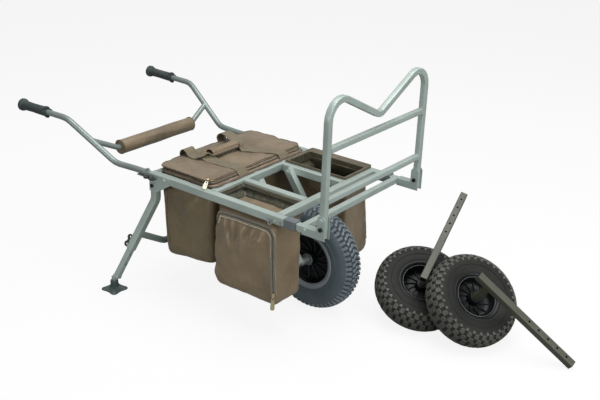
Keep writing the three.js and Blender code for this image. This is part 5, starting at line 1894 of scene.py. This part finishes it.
@dataclass
class Studio:
    """The floor, the light and the camera."""

    deck: Deck
    azimuth: float = 36.74
    elevation: float = 23.21
    roll: float = 2.14
    lens: float = 55.916
    sensor: float = 36.0
    floor_size: float = 60.0
    floor_glow: float = 0.87
    surround: float = 0.26
    eye: tuple[float, float, float] = (1626.0, -2349.1, 1189.4)
    lamps: tuple[Softbox, ...] = (
        Softbox("overhead", (200, 300, 3000), (-100, 0, 0), 3.0, 94.0),
        Softbox("near_side", (-600, -3600, 800), (-100, 0, -100), 0.8, 18.0),
        Softbox("front", (3300, -500, 1300), (-100, 0, -100), 2.0, 48.0),
    )

    def build(self, floor_height: float) -> None:
        """Sets up the floor, the lamps, the world, the camera and the view."""
        self.floor(floor_height)
        self.world()
        for box in self.lamps:
            self.light(box)
        self.camera()
        bpy.context.scene.view_settings.view_transform = "Standard"

    def floor(self, height: float) -> None:
        """A wide pale floor that looks white to the camera and keeps soft shadows."""
        bpy.ops.object.select_all(action="DESELECT")
        bpy.ops.mesh.primitive_plane_add(size=self.floor_size, location=(0, 0, height))
        plane = bpy.context.object
        plane.name = "studio_floor"
        material = bpy.data.materials.new("studio floor")
        material.use_nodes = True
        sketch = Sketch(material.node_tree)
        material.node_tree.nodes.clear()
        seen = sketch.add("ShaderNodeLightPath").outputs["Is Camera Ray"]
        shade = sketch.blend(seen, Tint(150, 150, 148), Tint(250, 250, 250))
        matt = sketch.add("ShaderNodeBsdfDiffuse", {"Color": shade})
        glow = sketch.add("ShaderNodeEmission", {"Color": WHITE, "Strength": 1.0})
        share = sketch.times(seen, self.floor_glow)
        mix = sketch.add("ShaderNodeMixShader", {0: share, 1: matt.outputs[0], 2: glow.outputs[0]})
        out = sketch.add("ShaderNodeOutputMaterial")
        sketch.feed(out.inputs["Surface"], mix.outputs[0])
        plane.data.materials.append(material)

    def world(self) -> None:
        """An even pale surround, white where the camera or a reflection sees it."""
        world = bpy.data.worlds.new("studio")
        bpy.context.scene.world = world
        world.use_nodes = True
        sketch = Sketch(world.node_tree)
        world.node_tree.nodes.clear()
        path = sketch.add("ShaderNodeLightPath")
        seen = sketch.maths("MAXIMUM", path.outputs["Is Camera Ray"], path.outputs["Is Transmission Ray"])
        strength = sketch.spread(seen, 0.0, 1.0, self.surround, 1.0)
        background = sketch.add("ShaderNodeBackground", {"Color": WHITE, "Strength": strength})
        out = sketch.add("ShaderNodeOutputWorld")
        sketch.feed(out.inputs["Surface"], background.outputs[0])

    def light(self, box: Softbox) -> None:
        """Adds a softbox that looks at its target."""
        bpy.ops.object.select_all(action="DESELECT")
        where, goal = self.deck.places((box.place, box.target))
        turn = (where - goal).to_track_quat("Z", "Y").to_euler()
        bpy.ops.object.light_add(type="AREA", location=where, rotation=turn)
        lamp = bpy.context.object
        lamp.name = f"softbox_{box.name}"
        lamp.data.shape, lamp.data.size, lamp.data.energy = "SQUARE", box.size, box.power

    def camera(self) -> None:
        """Sets the camera at the photograph's place and angle."""
        turn, rise, roll = (math.radians(value) for value in (self.azimuth, self.elevation, self.roll))
        back = Vector((math.sin(turn) * math.cos(rise), -math.cos(turn) * math.cos(rise), math.sin(rise)))
        level = Vector((math.cos(turn), math.sin(turn), 0.0))
        upright = back.cross(level)
        right = level * math.cos(roll) + upright * math.sin(roll)
        up = upright * math.cos(roll) - level * math.sin(roll)
        data = bpy.data.cameras.new("camera")
        data.lens, data.sensor_width, data.sensor_fit = self.lens, self.sensor, "HORIZONTAL"
        data.clip_start, data.clip_end = 0.05, 100.0
        camera = bpy.data.objects.new("camera", data)
        bpy.context.scene.collection.objects.link(camera)
        turned = Matrix((right, up, back)).transposed().to_4x4()
        camera.matrix_world = Matrix.Translation(self.deck.place(*self.eye)) @ turned
        bpy.context.scene.camera = camera


def wheels(frame: dict) -> list[Object]:
    """Builds the front wheel and the two spare wheels: tyres and rims."""
    front_blocks = (
        TreadBlock(((1, -6), (8, -3), (10, 5), (9, 8), (2, 5), (1, 1)), 4.5, 4.5),
        TreadBlock(((11, -8), (19, -5), (21, 1), (20, 5), (12, 2), (10, -3)), 5.0, 5.0, 0.5),
        TreadBlock(((23, -6), (30, -6.5), (43, -4.5), (44, 0), (41, 4), (28, 5), (22, 2)), 5.5, 1.0),
    )
    spare_blocks = (
        TreadBlock(((1, -9), (14, -11), (17, 0), (14, 9), (1, 8)), 4.0, 4.0),
        TreadBlock(((18, -10), (31, -9), (34, 0), (31, 9), (18, 10), (16, 0)), 4.0, 4.0, 0.5),
        TreadBlock(((35, -9), (49, -8), (51, 0), (49, 8), (35, 9), (34, 0)), 4.0, 4.0),
        TreadBlock(((50, -7), (57, -5), (61, 0), (57, 5), (50, 7)), 4.0, 1.0, 0.5),
    )
    placing, body = wheel_placing(frame, "wheel_spin"), "wheel"
    section = Section(182.5, 43.0, 100.0, 36.0)
    tyre = Tyre("front_tyre", section, 60, front_blocks, TYRE_RUBBER, TYRE_BLOCK_HIGHLIGHT, TYRE_GROOVE_SHADE, ridge=84.0)
    rim = Rim("front_rim", 98.0, 8.0, 42.0, 22.0, 35.0, 8.5, RIM_BLACK, RIM_SILVER, RIM_SILVER)
    pieces = [tyre.build(placing, body), rim.build(placing, body)]
    section = Section(156.0, 47.5, 80.0, 38.0, squareness=2.5)
    for name in ("left", "right"):
        placing, body = wheel_placing(frame, f"spare_wheel_{name}_spin"), f"spare_wheel_{name}"
        rubbers = (SPARE_RUBBER, SPARE_BLOCK_HIGHLIGHT, SPARE_GROOVE_SHADE)
        tyre = Tyre(f"spare_tyre_{name}", section, 34, spare_blocks, *rubbers, ridge=76.0)
        # On the spare rims the lip line and the rib and hub plastic are painted highlights.
        plastics = (RIM_BLACK, RIM_BLACK, RIM_LINE_HIGHLIGHT, SPARE_RIB_HIGHLIGHT, SPARE_RIB_HIGHLIGHT)
        rim = Rim(f"spare_rim_{name}", 78.0, 7.0, 44.0, 20.0, 34.0, 8.5, *plastics)
        pieces.extend((tyre.build(placing, body), rim.build(placing, body)))
    return pieces


def report(pieces: Iterable[Object]) -> None:
    """Logs each piece with its number of faces."""
    for piece in pieces:
        LOG.info("%s: %d faces", piece.name, len(piece.data.polygons))


def main() -> None:
    """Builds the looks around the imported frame."""
    logging.basicConfig(level=logging.INFO, format="%(name)s: %(message)s")
    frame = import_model()
    deck = Deck.from_frame()
    Studio(deck).build(floor_height=0.0)
    report(CarriedFrame(frame).build())
    report(MainBag(deck).build())
    report(BagLid(deck).build())
    for side in Side:
        report([*PocketBag(deck, side).build(), Foot(deck, side).build()])
    report([HandlePad(deck).build()])
    report(wheels(frame))


if __name__ == "__main__":
    main()
